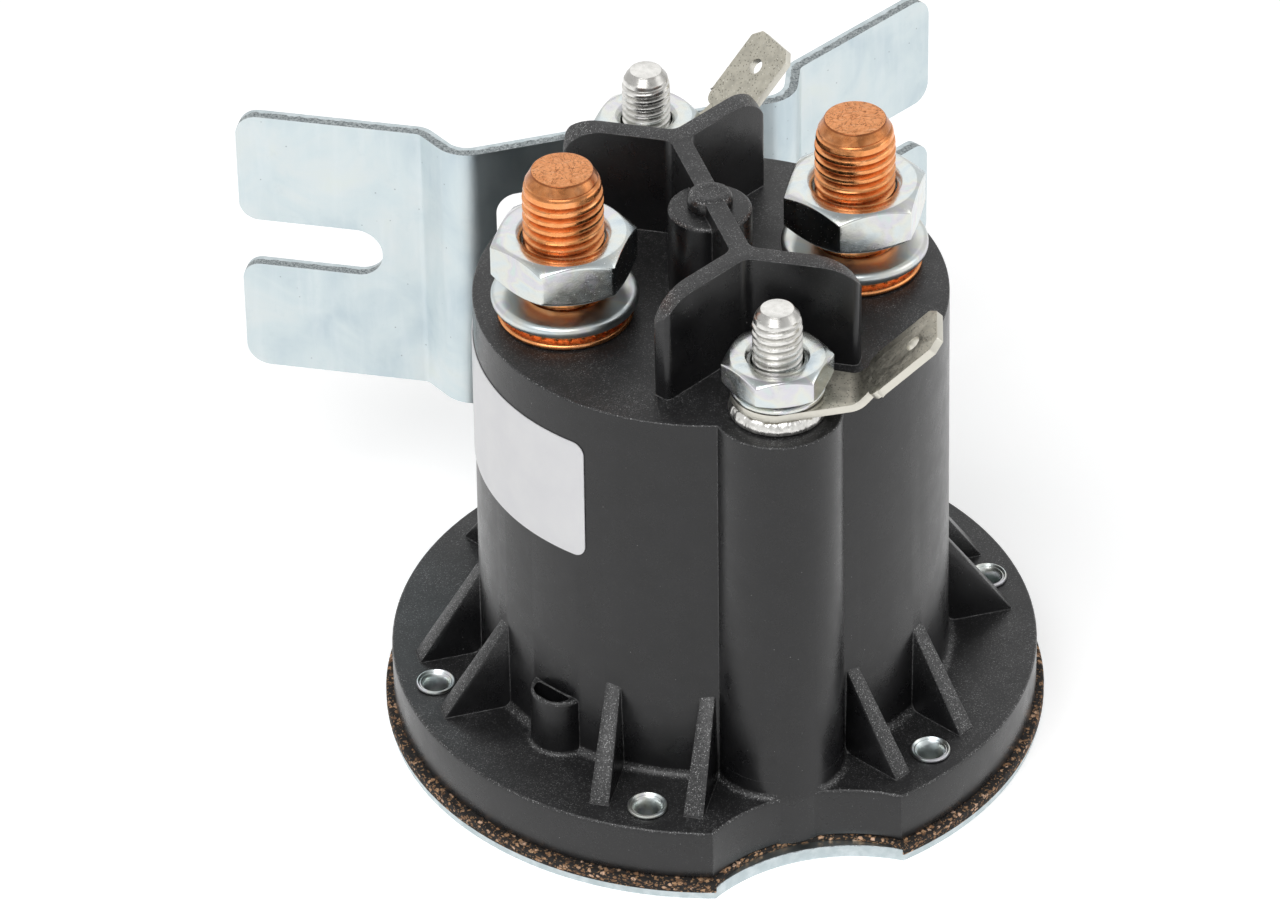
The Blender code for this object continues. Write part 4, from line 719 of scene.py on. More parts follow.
def cork_rubber():
    """Rubber-bound cork: black binder with small tan and orange chips, with a painted shadow along its top
    under the flange.
    """
    paint = Paint("cork_rubber", (0.03, 0.022, 0.016), 0.8)
    warp = paint.add("ShaderNodeTexNoise", Vector=paint.mm, Scale=2.0, Detail=3.0).outputs["Color"]
    bent = paint.add("ShaderNodeVectorMath", {"operation": "MULTIPLY_ADD"}, _0=warp,
                     _1=(0.5, 0.5, 0.4), _2=paint.stretched((1.0, 1.0, 1.5))).outputs[0]
    chips = paint.cells(1.9, where=bent)
    kind = paint.add("ShaderNodeSeparateColor", Color=chips.outputs["Color"])
    colour = paint.ramp(kind.outputs[0], ((0.0, (0.012, 0.010, 0.008)), (0.42, (0.020, 0.015, 0.011)),
                                          (0.52, (0.11, 0.058, 0.032)), (0.66, (0.36, 0.19, 0.095)),
                                          (0.82, (0.64, 0.38, 0.21)), (1.0, (0.86, 0.57, 0.40))))
    gaps = paint.span(chips.outputs["Distance"], 0.42, 0.55)
    colour = paint.blend(gaps, colour, (0.010, 0.008, 0.007))
    crumbs = paint.cells(6.0, where=bent)
    fine = paint.add("ShaderNodeSeparateColor", Color=crumbs.outputs["Color"])
    colour = paint.blend(paint.span(fine.outputs[1], 0.45, 1.0, 0.0, 0.8), colour,
                         (0.016, 0.012, 0.010))
    ochre = paint.maths("GREATER_THAN", fine.outputs[0], 0.88)
    colour = paint.blend(paint.maths("MULTIPLY", ochre, 0.7), colour, (0.42, 0.24, 0.12))
    height = paint.add("ShaderNodeSeparateXYZ", Vector=paint.mm).outputs[2]
    # Painted shadow: the top of the gasket, under the flange, is painted near-black.
    top_shadow = paint.span(paint.maths("MULTIPLY_ADD", paint.noise(1.2, 3.0), 0.6, height), 2.26, 2.44)
    paint.set(Base_Color=paint.blend(top_shadow, colour, (0.010, 0.009, 0.008)))
    rough = paint.bump(chips.outputs["Distance"], 0.14 * MM, 0.8)
    paint.set(Normal=paint.bump(paint.noise(6.0, 4.0), 0.08 * MM, 0.8, rough))
    return paint.material


def label_film():
    """Plain white printed film under a clear laminate."""
    paint = Paint("label_film", (0.80, 0.80, 0.81), 0.45, 0.0, Coat_Weight=0.25, Coat_Roughness=0.22)
    tone = paint.noise(0.25, 3.0)
    paint.set(Base_Color=paint.ramp(tone, ((0.3, (0.77, 0.77, 0.79)), (0.7, (0.82, 0.82, 0.83)))))
    paint.set(Normal=paint.bump(paint.noise(0.5, 2.0), 0.02 * MM, 0.3))
    return paint.material


def plain_metal(name, colour, roughness, grain=2.0):
    """A metal that is mottled and faintly marked all over."""
    paint = Paint(name, colour, roughness, 1.0)
    dark = tuple(0.7 * c for c in colour)
    paint.set(Base_Color=paint.blend(paint.span(paint.noise(grain, 4.0), 0.35, 0.7), dark, colour))
    paint.set(Roughness=paint.span(paint.noise(grain, 4.0), 0.3, 0.7, roughness - 0.08, roughness + 0.1))
    paint.set(Normal=paint.bump(paint.noise(3 * grain, 3.0), 0.015 * MM, 0.5))
    return paint.material


def plain_moulding(name, colour, roughness):
    """A moulded plastic or rubber with a fine grain."""
    paint = Paint(name, colour, roughness)
    dark = tuple(0.8 * c for c in colour)
    paint.set(Base_Color=paint.blend(paint.span(paint.noise(0.8, 4.0), 0.35, 0.7), dark, colour))
    paint.set(Roughness=paint.span(paint.noise(2.0, 3.0), 0.3, 0.7, roughness - 0.06, roughness + 0.08))
    paint.set(Normal=paint.bump(paint.noise(6.0, 3.0), 0.01 * MM, 0.6))
    return paint.material


# The moulded housing

def scallop(rim_radius, floor, step=4.0):
    corner = -math.sqrt(rim_radius**2 - NOTCH**2)
    depth = -floor - corner
    radius = (NOTCH**2 + depth**2) / (2 * depth)
    half = math.asin(NOTCH / radius)
    up = math.pi / 2
    return arc((0.0, -floor - radius), radius, up + half, up - half, step)


def notched_outline(radius, inset=0.0):
    """A disc with the front scallop and, behind, the notch that the tongue passes."""
    rim = math.sqrt(radius**2 - NOTCH**2)
    front = math.asin(NOTCH / radius) - math.pi / 2
    rear = math.atan2(rim, NOTCH)
    floor = SCALLOP_FLOOR - inset
    notch = rounded([(NOTCH, rim, 0.0), (NOTCH, floor, 2.0 * MM), (-NOTCH, floor, 2.0 * MM),
                     (-NOTCH, rim, 0.0)])
    outline = arc((0, 0), radius, front, rear, 2.5)[:-1] + notch
    outline += arc((0, 0), radius, math.pi - rear, math.pi - front, 2.5)[1:]
    return outline + scallop(radius, floor)[1:-1]


def body_solid():
    foot_radius = BODY_RADIUS + DRAFT * (ROOF - FLANGE_HIGH)
    profile = [(0.0, ROOF, 0), (BODY_RADIUS, ROOF, 0.16 * MM), (foot_radius, FLANGE_HIGH, 0.9 * MM),
               (foot_radius + 1.2 * MM, FLANGE_HIGH, 0), (foot_radius + 1.2 * MM, 5 * MM, 0),
               (0.0, 5 * MM, 0)]
    return turned("body", rounded(profile, 15.0, False), 180)


def boss_solid(sign):
    profile = [(0.0, ROOF, 0), (6.3 * MM, ROOF, 0.2 * MM), (6.55 * MM, FLANGE_LOW, 0),
               (0.0, FLANGE_LOW, 0)]
    return turned("boss", rounded(profile, 15.0, False), 96, (0.0, sign * COIL_PLACE))


def boss_foot(sign):
    """The fillet where a boss meets the flange; it ends at the flange's edge."""
    foot, low = 6.52 * MM, FLANGE_HIGH - MM
    profile = [(5 * MM, FLANGE_HIGH + 2 * MM, 0), (foot, FLANGE_HIGH + 2 * MM, 0),
               (foot, FLANGE_HIGH, 0.7 * MM), (foot + 1.2 * MM, FLANGE_HIGH, 0),
               (foot + 1.2 * MM, low, 0), (5 * MM, low, 0)]
    ring = turned("foot", rounded(profile, 12.0), 96, (0.0, sign * COIL_PLACE), True)
    keep = plate("keep", [notched_outline(FLANGE_RADIUS - 0.1 * MM, 0.12 * MM)], low - MM,
                 FLANGE_HIGH + 3 * MM)
    return cut_and_joined(ring, [("INTERSECT", keep)])


def rib_solid(offset):
    """One gusset on the +X axis: drafted, with soft crest edges and a small toe."""
    buried, low = BODY_RADIUS - 2.0 * MM, FLANGE_HIGH - 1.0 * MM
    foot_radius = BODY_RADIUS + DRAFT * (ROOF - FLANGE_HIGH)
    wall = math.sqrt(foot_radius**2 - (4.75 * MM) ** 2)
    reach, toe, rise = 29.9 * MM, FLANGE_HIGH + 0.12 * MM, 9.8 * MM
    outline = rounded([(buried, low, 0), (reach, low, 0), (reach, toe, 0.1 * MM),
                       (wall, FLANGE_HIGH + rise, 0),
                       (buried, FLANGE_HIGH + rise + 0.6 * (wall - buried), 0)])
    mesh = plate("rib", [outline], -1.0 * MM, 1.0 * MM, 0.09 * MM, 2)
    mesh.transform(Matrix.Rotation(math.pi / 2, 4, "X"))
    taper = 0.25 / 9.8

    def draft(work):
        for vertex in work.verts:
            vertex.co.y -= math.copysign(taper * max(0.0, vertex.co.z - FLANGE_HIGH), vertex.co.y)
            vertex.co.y += offset

    return worked(mesh, draft)


def pocket_solids():
    low, high = FLANGE_HIGH - 1.0 * MM, FLANGE_HIGH + 6.4 * MM
    turn = Matrix.Rotation(math.radians(-148.5), 4, "Z")
    centre = turn @ Matrix.Translation((22.9 * MM, 0, 0))
    outer = turned("pocket", rounded([(0.0, high, 0), (3.0 * MM, high, 0.4 * MM),
                                      (3.1 * MM, FLANGE_HIGH, 0.5 * MM), (3.7 * MM, FLANGE_HIGH, 0),
                                      (3.7 * MM, low, 0), (0.0, low, 0)], 15.0, False), 48)
    outer.transform(centre)
    dee = rounded([(0.9 * MM, -2.25 * MM, 0.3 * MM), (2.6 * MM, -1.6 * MM, 1.6 * MM),
                   (2.6 * MM, 1.6 * MM, 1.6 * MM), (0.9 * MM, 2.25 * MM, 0.3 * MM)])
    recess = plate("recess", [dee], high - 2.6 * MM, high + 1.0 * MM)
    recess.transform(centre)
    return outer, recess


def barrier_solid():
    half = 1.0 * MM
    fork, length, lean = 10.6 * MM, 11.6 * MM, math.radians(30.0)
    cos, sin = math.cos(lean), math.sin(lean)
    tip = Vector((length * cos, fork + length * sin))
    quarter = [(half, fork - half / cos + half * math.tan(lean), 1.3 * MM),
               (tip.x + half * sin, tip.y - half * cos, 0.55 * MM),
               (tip.x - half * sin, tip.y + half * cos, 0.55 * MM)]
    mirrored = [(-x, y, r) for x, y, r in reversed(quarter)]
    rear = quarter + [(0.0, fork + half / cos, 1.4 * MM)] + mirrored
    plan = rounded(rear + [(-x, -y, r) for x, y, r in rear], 12.0)
    low = ROOF - 1.0 * MM
    walls = plate("barrier", [plan], low, BARRIER_CREST, 0.0)
    end = length * cos + half * sin
    side = rounded([(-end, low - MM, 0), (end, low - MM, 0), (end, BARRIER_CREST, 4.0 * MM),
                    (-end, BARRIER_CREST, 4.0 * MM)])
    keep = plate("keep", [side], -30 * MM, 30 * MM)
    keep.transform(Matrix.Rotation(math.pi / 2, 4, "X"))
    walls = cut_and_joined(walls, [("INTERSECT", keep)])

    def soften(work):
        rim = [e for e in work.edges if len(e.link_faces) == 2 and e.calc_face_angle() > 0.9
               and min(v.co.z for v in e.verts) > ROOF]
        bmesh.ops.bevel(work, geom=rim, offset=0.78 * MM, segments=5, profile=0.5, affect="EDGES",
                        clamp_overlap=True)

    return cleaned(worked(walls, soften))


def housing_mesh():
    flange = plate("flange", [notched_outline(FLANGE_RADIUS)], FLANGE_LOW, FLANGE_HIGH, 0.75 * MM, 5,
                   0.3 * MM)
    steps = [("UNION", body_solid())]
    steps += [("UNION", boss_solid(sign)) for _, sign in COIL_SIDES]
    steps += [("UNION", boss_foot(sign)) for _, sign in COIL_SIDES]
    for offset in (-4.75 * MM, 4.75 * MM):
        steps.append(("UNION", ring_of("ribs", rib_solid(offset), 6)))
    pocket, recess = pocket_solids()
    steps += [("UNION", pocket), ("DIFFERENCE", recess)]
    hub = rounded([(0.0, 59.54 * MM, 0), (4.13 * MM, 59.54 * MM, 0.45 * MM),
                   (4.13 * MM, 48 * MM, 0), (0.0, 48 * MM, 0)], 15.0, False)
    steps.append(("UNION", turned("hub", hub, 72)))
    steps.append(("UNION", barrier_solid()))
    gate = [(0.0, 61.02), (0.25, 60.92), (0.55, 60.88), (0.80, 60.92), (0.95, 61.12), (1.35, 61.22),
            (1.75, 61.16), (2.05, 60.98), (2.2, 60.7), (2.25, 60.3), (2.25, 59.9), (0.0, 59.9)]
    steps.append(("UNION", turned("gate", [(r * MM, z * MM) for r, z in gate], 48)))
    chamber = [(0.0, CEILING), (20.9 * MM, CEILING), (20.9 * MM, 31.7 * MM), (21.4 * MM, 31.7 * MM),
               (21.4 * MM, MM), (0.0, MM)]
    steps.append(("DIFFERENCE", turned("chamber", chamber, 120)))
    for _, sign in COIL_SIDES:
        channel = [(0.0, ROOF + MM), (2.515 * MM, ROOF + MM), (2.515 * MM, 45.44 * MM),
                   (4.3 * MM, 45.44 * MM), (4.3 * MM, MM), (0.0, MM)]
        steps.append(("DIFFERENCE", turned("channel", channel, 48, (0.0, sign * COIL_PLACE))))
    for _, sign in POWER_SIDES:
        seat = [(0.0, ROOF + MM), (5.0 * MM, ROOF + MM), (5.0 * MM, 45 * MM), (0.0, 45 * MM)]
        steps.append(("DIFFERENCE", turned("seat", seat, 48, (sign * POWER_PLACE, 0.0))))
    bore = [(0.0, 9 * MM), (1.65 * MM, 9 * MM), (1.65 * MM, MM), (0.0, MM)]
    steps.append(("DIFFERENCE", ring_of("bores", turned("bore", bore, 24, (EYELET_CIRCLE, 0.0)), 6)))
    return cut_and_joined(flange, steps, 26.0)


# The folded bracket and the tabs

def folded(mesh, thickness, axis, start, bend, angle, up, segments, chosen):
    """Folds a flat sheet along its X, on both sides alike, or its Y."""
    middle = thickness / 2
    radius = bend + middle
    which = "XYZ".index(axis)

    def change(work):
        for side in ((1, -1) if axis == "X" else (1,)):
            for k in range(segments + 1):
                normal = Vector((0.0, 0.0, 0.0))
                normal[which] = 1.0
                station = normal * side * (start + radius * angle * k / segments)
                geometry = work.verts[:] + work.edges[:] + work.faces[:]
                bmesh.ops.bisect_plane(work, geom=geometry, dist=1e-7, plane_co=station,
                                       plane_no=normal)
        for vertex in work.verts:
            co = vertex.co
            along = abs(co[which]) - start
            if along <= 0 or not chosen(co) or (axis == "Y" and co.y < 0):
                continue
            side = math.copysign(1.0, co[which])
            turn = min(along / radius, angle)
            rest = along - radius * turn
            height = co.z - middle
            reach = radius * math.sin(turn) + rest * math.cos(turn)
            rise = radius * (1 - math.cos(turn)) + rest * math.sin(turn)
            co[which] = side * (start + reach - up * height * math.sin(turn))
            co.z = middle + up * rise + height * math.cos(turn)

    return worked(mesh, change)


def marked_edges(mesh, thickness):
    """Attributes for a flat sheet's sheared edge: where it is, and how deep in the sheet."""
    rim = mesh.attributes.new("rim", "FLOAT", "CORNER")
    depth = mesh.attributes.new("depth", "FLOAT", "CORNER")
    for face in mesh.polygons:
        upright = abs(face.normal.z) < 0.85
        for corner in face.loop_indices:
            rim.data[corner].value = float(upright)
            height = mesh.vertices[mesh.loops[corner].vertex_index].co.z
            depth.data[corner].value = height / thickness
    return mesh


def bracket_mesh():
    tongue, bend = 7.8 * MM, 1.0 * MM
    bend_start = PANEL_FRONT - bend
    lift = bend_start + math.pi / 2 * (bend + SHEET / 2) - SHEET - bend
    inner, crease = 2.4 * MM, 1.2 * MM
    first = PANEL_HALF - 1.08 * MM
    outer = first + JOGGLE * (inner + SHEET / 2) + 2.88 * MM
    ear_end = outer + (JOGGLE - EAR) * (crease + SHEET / 2) + 18.86 * MM
    slot_low = (PANEL_LOW + PANEL_HIGH) / 2 - 2.75 * MM
    slot_high = slot_low + 5.5 * MM
    rim = math.sqrt(PLATE_RADIUS**2 - NOTCH**2)
    relief = bend_start - 0.5 * MM
    small = (NOTCH - tongue) * 0.45
    right = rounded([
        (NOTCH, rim, 0), (NOTCH, relief, small), (tongue, relief, small),
        (tongue, PANEL_LOW + lift, 9.0 * MM), (ear_end, PANEL_LOW + lift, 2.4 * MM),
        (ear_end, slot_low + lift, 2.0 * MM), (ear_end - 15 * MM, slot_low + lift, 2.744 * MM),
        (ear_end - 15 * MM, slot_high + lift, 2.744 * MM), (ear_end, slot_high + lift, 2.0 * MM),
        (ear_end, PANEL_HIGH + lift, 2.4 * MM), (0.0, PANEL_HIGH + lift, 0)], 7.5)[:-1]
    left = [Vector((-p.x, p.y)) for p in reversed(right)]
    rear = math.atan2(rim, NOTCH)
    front = math.asin(NOTCH / PLATE_RADIUS) - math.pi / 2
    left_rim = arc((0, 0), PLATE_RADIUS, math.pi - rear, math.pi - front, 2.0)
    right_rim = arc((0, 0), PLATE_RADIUS, front, rear, 2.0)
    outline = right + left + left_rim[1:] + scallop(PLATE_RADIUS, PLATE_SCALLOP_FLOOR, 3.0)[1:-1]
    outline += right_rim[:-1]
    window = rounded([(-13.8 * MM, 31.0 * MM + lift, 2 * MM), (13.8 * MM, 31.0 * MM + lift, 2 * MM),
                      (13.8 * MM, 44.6 * MM + lift, 2 * MM), (-13.8 * MM, 44.6 * MM + lift, 2 * MM)])
    holes = [arc((EYELET_CIRCLE * math.cos(TAU * k / 6), EYELET_CIRCLE * math.sin(TAU * k / 6)),
                 2.35 * MM, 0.0, TAU * 23 / 24, 15.0) for k in range(6)]
    mesh = plate("bracket", [outline, window] + holes, 0.0, SHEET, 0.16 * MM, 3)
    marked_edges(mesh, SHEET)
    beyond = PLATE_RADIUS + MM
    folded(mesh, SHEET, "X", outer, crease, JOGGLE - EAR, 1, 8, lambda co: co.y > beyond)
    folded(mesh, SHEET, "X", first, inner, JOGGLE, -1, 12, lambda co: co.y > beyond)
    folded(mesh, SHEET, "Y", bend_start, bend, math.pi / 2, 1, 16,
           lambda co: abs(co.x) < tongue + 0.1 * MM or co.y > beyond)
    return cleaned(mesh, 30.0, 0.0002 * MM)


def tab_mesh(sign, turn):
    sheet = 0.8 * MM
    ring, half, neck, tip = 4.5 * MM, 3.175 * MM, 10.7 * MM, 18.5 * MM
    ring_end = arc((0, 0), ring, math.pi / 2, math.pi * 1.5, 6.0)
    blade = rounded([(neck - 1.3 * MM, -ring, 1.0 * MM), (neck, -half, 0.6 * MM),
                     (tip - 1.0 * MM, -half, 0.3 * MM), (tip, 1.0 * MM - half, 0.3 * MM),
                     (tip, half - 1.0 * MM, 0.3 * MM), (tip - 1.0 * MM, half, 0.3 * MM),
                     (neck, half, 0.6 * MM), (neck - 1.3 * MM, ring, 1.0 * MM)], 12.0)
    holes = [arc((0, 0), 2.615 * MM, 0, TAU * 47 / 48, 7.5),
             arc((tip - 3.2 * MM, 0), 0.825 * MM, 0, TAU * 23 / 24, 15.0)]
    mesh = plate("tab", [ring_end + blade] + holes, 0.0, sheet, 0.13 * MM, 3)
    marked_edges(mesh, sheet)
    folded(mesh, sheet, "X", 6.9 * MM, 1.5 * MM, math.radians(45), 1, 14, lambda co: co.x > 0)
    mesh.transform(Matrix.Rotation(turn, 4, "Z"))
    mesh.transform(Matrix.Translation((0, sign * COIL_PLACE, 51.74 * MM)))
    return cleaned(mesh, 30.0, 0.0002 * MM)


# Gasket, label, rivets and hardware

def gasket_mesh():
    bore = arc((0, 0), 22.0 * MM, 0.0, TAU * 95 / 96, TAU / 96 * 57.3)
    mesh = plate("gasket", [notched_outline(GASKET_RADIUS), bore], GASKET_LOW, GASKET_HIGH, 0.3 * MM, 3,
                 0.08 * MM)
    cuts = turned("bore", [(0.0, 4 * MM), (1.65 * MM, 4 * MM), (1.65 * MM, 0), (0.0, 0)], 24,
                  (EYELET_CIRCLE, 0.0))
    under, top = PLATE_RADIUS + 0.01 * MM, SHEET + 0.02 * MM
    sheet = turned("sheet", [(0.0, top), (under, top), (under, -MM), (0.0, -MM)], 360)
    return cut_and_joined(mesh, [("DIFFERENCE", ring_of("bores", cuts, 6)), ("DIFFERENCE", sheet)])


def label_mesh():
    low, high, length, thick = 32.0 * MM, 45.35 * MM, 36.0 * MM, 0.12 * MM
    radius = BODY_RADIUS + DRAFT * (ROOF - low) + 0.03 * MM
    outline = rounded([(0, low, 1.3 * MM), (length, low, 1.3 * MM), (length, high, 1.3 * MM),
                       (0, high, 1.3 * MM)])
    mesh = plate("label", [outline], 0.0, thick, 0.03 * MM, 2)
    strips = 72

    def wrap(work):
        for k in range(1, strips):
            geometry = work.verts[:] + work.edges[:] + work.faces[:]
            bmesh.ops.bisect_plane(work, geom=geometry, dist=1e-7,
                                   plane_co=(length * k / strips, 0, 0), plane_no=(1, 0, 0))
        for vertex in work.verts:
            along, height, out = vertex.co
            reach = radius - DRAFT * (height - low) + out
            angle = math.radians(-138.5) - along / radius
            vertex.co = (reach * math.cos(angle), reach * math.sin(angle), height)

    return cleaned(worked(mesh, wrap), 30.0, 0.0001 * MM)


def eyelet_mesh():
    profile = [(1.05, 5.4), (1.1, 6.6), (1.18, 7.1), (1.3, 7.5), (1.46, 7.8), (1.56, 7.88), (1.64, 7.86),
               (1.72, 7.95), (1.82, 8.05), (1.92, 8.03), (1.99, 7.9), (1.99, 7.76), (1.5, 7.73),
               (1.5, 0.55), (2.15, 0.55), (2.2, 0.5), (2.2, 0.2), (2.15, 0.15), (1.6, 0.15),
               (1.3, 0.4), (1.1, 0.9)]
    return turned("eyelet", [(r * MM, z * MM) for r, z in profile], 48, (EYELET_CIRCLE, 0.0), True)


def nut_mesh(name, flats, low, high, bore, turn, centre):
    """A hexagon nut with turned chamfers on both faces, softened arrises and a countersunk bore."""
    apothem, corner_round, soft = flats / 2, 0.25 * MM, 0.09 * MM
    face = apothem * 0.955
    slope = math.tan(math.radians(30))
    sink = 0.5 * MM
    shares = [math.sin(math.pi / 2 * (k / 8 - 1)) for k in range(16)]
    angles = [math.radians(60 * side + 30 * share) for side in range(6) for share in shares]
    reach = (apothem - corner_round) / math.cos(math.radians(30))

    def hexagon(angle):
        off = (angle + math.pi / 6) % (math.pi / 3) - math.pi / 6
        from_corner = math.pi / 6 - abs(off)
        touch = math.atan2(corner_round * 0.5, reach + corner_round * math.cos(math.pi / 6))
        if from_corner > touch:
            return apothem / math.cos(off)
        return reach * math.cos(from_corner) + math.sqrt(
            corner_round**2 - (reach * math.sin(from_corner)) ** 2)

    def drop(radius):
        return max(0.0, radius - face) * slope

    upper = [lambda h: (bore, sink), lambda h: (bore + sink * 0.9, 0.04 * MM),
             lambda h: (bore + sink + 0.05 * MM, 0.0), lambda h: (face - 0.06 * MM, 0.0),
             lambda h: (face + 0.05 * MM, drop(face + 0.05 * MM)),
             lambda h: (face + 0.45 * (h - face), drop(face + 0.45 * (h - face))),
             lambda h: (h - soft, drop(h - soft)), lambda h: (h - 0.3 * soft, drop(h) + 0.25 * soft),
             lambda h: (h, drop(h) + soft), lambda h: (h, drop(h) + 3 * soft)]
    rows = [(rule, 1) for rule in upper] + [(rule, -1) for rule in reversed(upper)]
    rings = []
    for rule, way in rows:
        ring = []
        for angle in angles:
            radius, depth = rule(hexagon(angle))
            height = high - depth if way > 0 else low + depth
            ring.append((centre[0] + radius * math.cos(angle + turn),
                         centre[1] + radius * math.sin(angle + turn), height))
        rings.append(ring)
    return cleaned(ring_mesh(name, rings, True), 40.0, 0.0002 * MM)


def power_hardware(copper, zinc, washer_zinc):
    for side, sign in POWER_SIDES:
        centre = (sign * POWER_PLACE, 0.0)
        collar_low, knurl_low, knurl_high = 50.14 * MM, 50.74 * MM, 51.59 * MM
        half = (knurl_low - collar_low) / 2
        collar = [tuple(p) for p in arc((6.7 * MM - half, collar_low + half), half, math.pi / 2,
                                        -math.pi / 2, 18)]
        lower = [(5.95 * MM, knurl_high), (6.05 * MM, knurl_high - 0.1 * MM), (6.05 * MM, knurl_low)]
        lower += collar + [(4.9 * MM, collar_low), (4.9 * MM, 46.84 * MM), (5.8 * MM, 46.84 * MM),
                           (5.9 * MM, 46.7 * MM), (5.9 * MM, 43.84 * MM), (5.6 * MM, 43.54 * MM),
                           (0.0, 43.54 * MM)]
        stud = stud_mesh(f"{side}_threaded_stud", 3.965 * MM, 1.058 * MM, 0.56 * MM, knurl_high,
                         66.8 * MM, (3.05 * MM, 0.54), (3.53 * MM, 0.16), lower, centre)
        placed(f"{side}_threaded_stud", stud, copper, replaces=[f"{side}_power_stud"])
        tooth = turned("tooth", rounded([(0.0, knurl_high - 0.05 * MM, 0),
                                         (0.30 * MM, knurl_high - 0.05 * MM, 0.12 * MM),
                                         (0.30 * MM, knurl_low + 0.12 * MM, 0.28 * MM),
                                         (0.0, knurl_low + 0.12 * MM, 0)], 18.0, False), 12,
                       (6.08 * MM, 0.0))
        knurl = cleaned(ring_of("knurl", tooth, 30, 0.1, (*centre, 0.0)))
        placed(f"{side}_stud_knurl", knurl, copper)
        washer = [(4.165, 53.04), (4.25, 53.08), (6.6, 53.03), (6.95, 52.98), (7.15, 52.82),
                  (7.25, 52.58), (7.25, 52.28), (7.20, 52.05), (7.08, 51.86), (6.88, 51.74),
                  (6.6, 51.69), (4.25, 51.69), (4.165, 51.75)]
        ring = turned("washer", [(r * MM, z * MM) for r, z in washer], 128, centre, True, 40.0)
        placed(f"{side}_flat_washer", ring, washer_zinc, replaces=[f"{side}_power_washer"])
        turn = math.radians(26 if sign < 0 else 30)
        nut = nut_mesh("nut", 12.7 * MM, 55.04 * MM, 59.64 * MM, 4.165 * MM, turn, centre)
        placed(f"{side}_stud_nut", nut, zinc, replaces=[f"{side}_power_nut"])


def coil_hardware(tin, tab_tin, zinc, washer_zinc):
    for (side, sign), turn in zip(COIL_SIDES, (-18.0, 14.5)):
        centre = (0.0, sign * COIL_PLACE)
        lower = [(4.0, 51.64), (4.12, 51.62), (4.45, 51.42), (4.6, 51.14), (4.72, 50.8), (4.75, 50.54),
                 (4.68, 50.3), (4.4, 50.15), (2.415, 50.14), (2.415, 45.34), (3.4, 45.34),
                 (3.5, 45.24), (3.5, 43.64), (3.4, 43.54), (0.0, 43.54)]
        stud = stud_mesh(f"{side}_coil_thread", 2.415 * MM, 0.794 * MM, 0.40 * MM, 51.64 * MM,
                         61.87 * MM, (1.66 * MM, 0.75), (2.03 * MM, 0.22),
                         [(r * MM, z * MM) for r, z in lower], centre)
        placed(f"{side}_coil_thread", stud, tin, replaces=[f"{side}_coil_stud"])
        tab = tab_mesh(sign, math.radians(turn))
        placed(f"{side}_spade_tab", tab, tab_tin, replaces=[f"{side}_tab"])
        washer = [(2.615, 53.36), (2.8, 53.39), (4.2, 53.22), (4.45, 53.16), (4.58, 53.05), (4.6, 52.86),
                  (4.55, 52.70), (4.4, 52.65), (2.8, 52.85), (2.615, 52.88)]
        ring = turned("washer", [(r * MM, z * MM) for r, z in washer], 96, centre, True, 40.0)
        placed(f"{side}_spring_washer", ring, zinc, replaces=[f"{side}_lock_washer"])
        nut = nut_mesh("nut", 9.53 * MM, 53.49 * MM, 56.54 * MM, 2.615 * MM, math.radians(21), centre)
        placed(f"{side}_terminal_nut", nut, zinc, replaces=[f"{side}_coil_nut"])


# Light, floor and camera

def softbox(name, spot, target, size, power, colour=(1.0, 1.0, 1.0)):
    lamp = bpy.data.lights.new(name, "AREA")
    lamp.shape = "RECTANGLE"
    lamp.size, lamp.size_y = size
    lamp.energy = power
    lamp.color = colour
    holder = bpy.data.objects.new(name, lamp)
    bpy.context.scene.collection.objects.link(holder)
    holder.location = spot
    aim = Vector(target) - Vector(spot)
    holder.rotation_euler = aim.to_track_quat("-Z", "Y").to_euler()


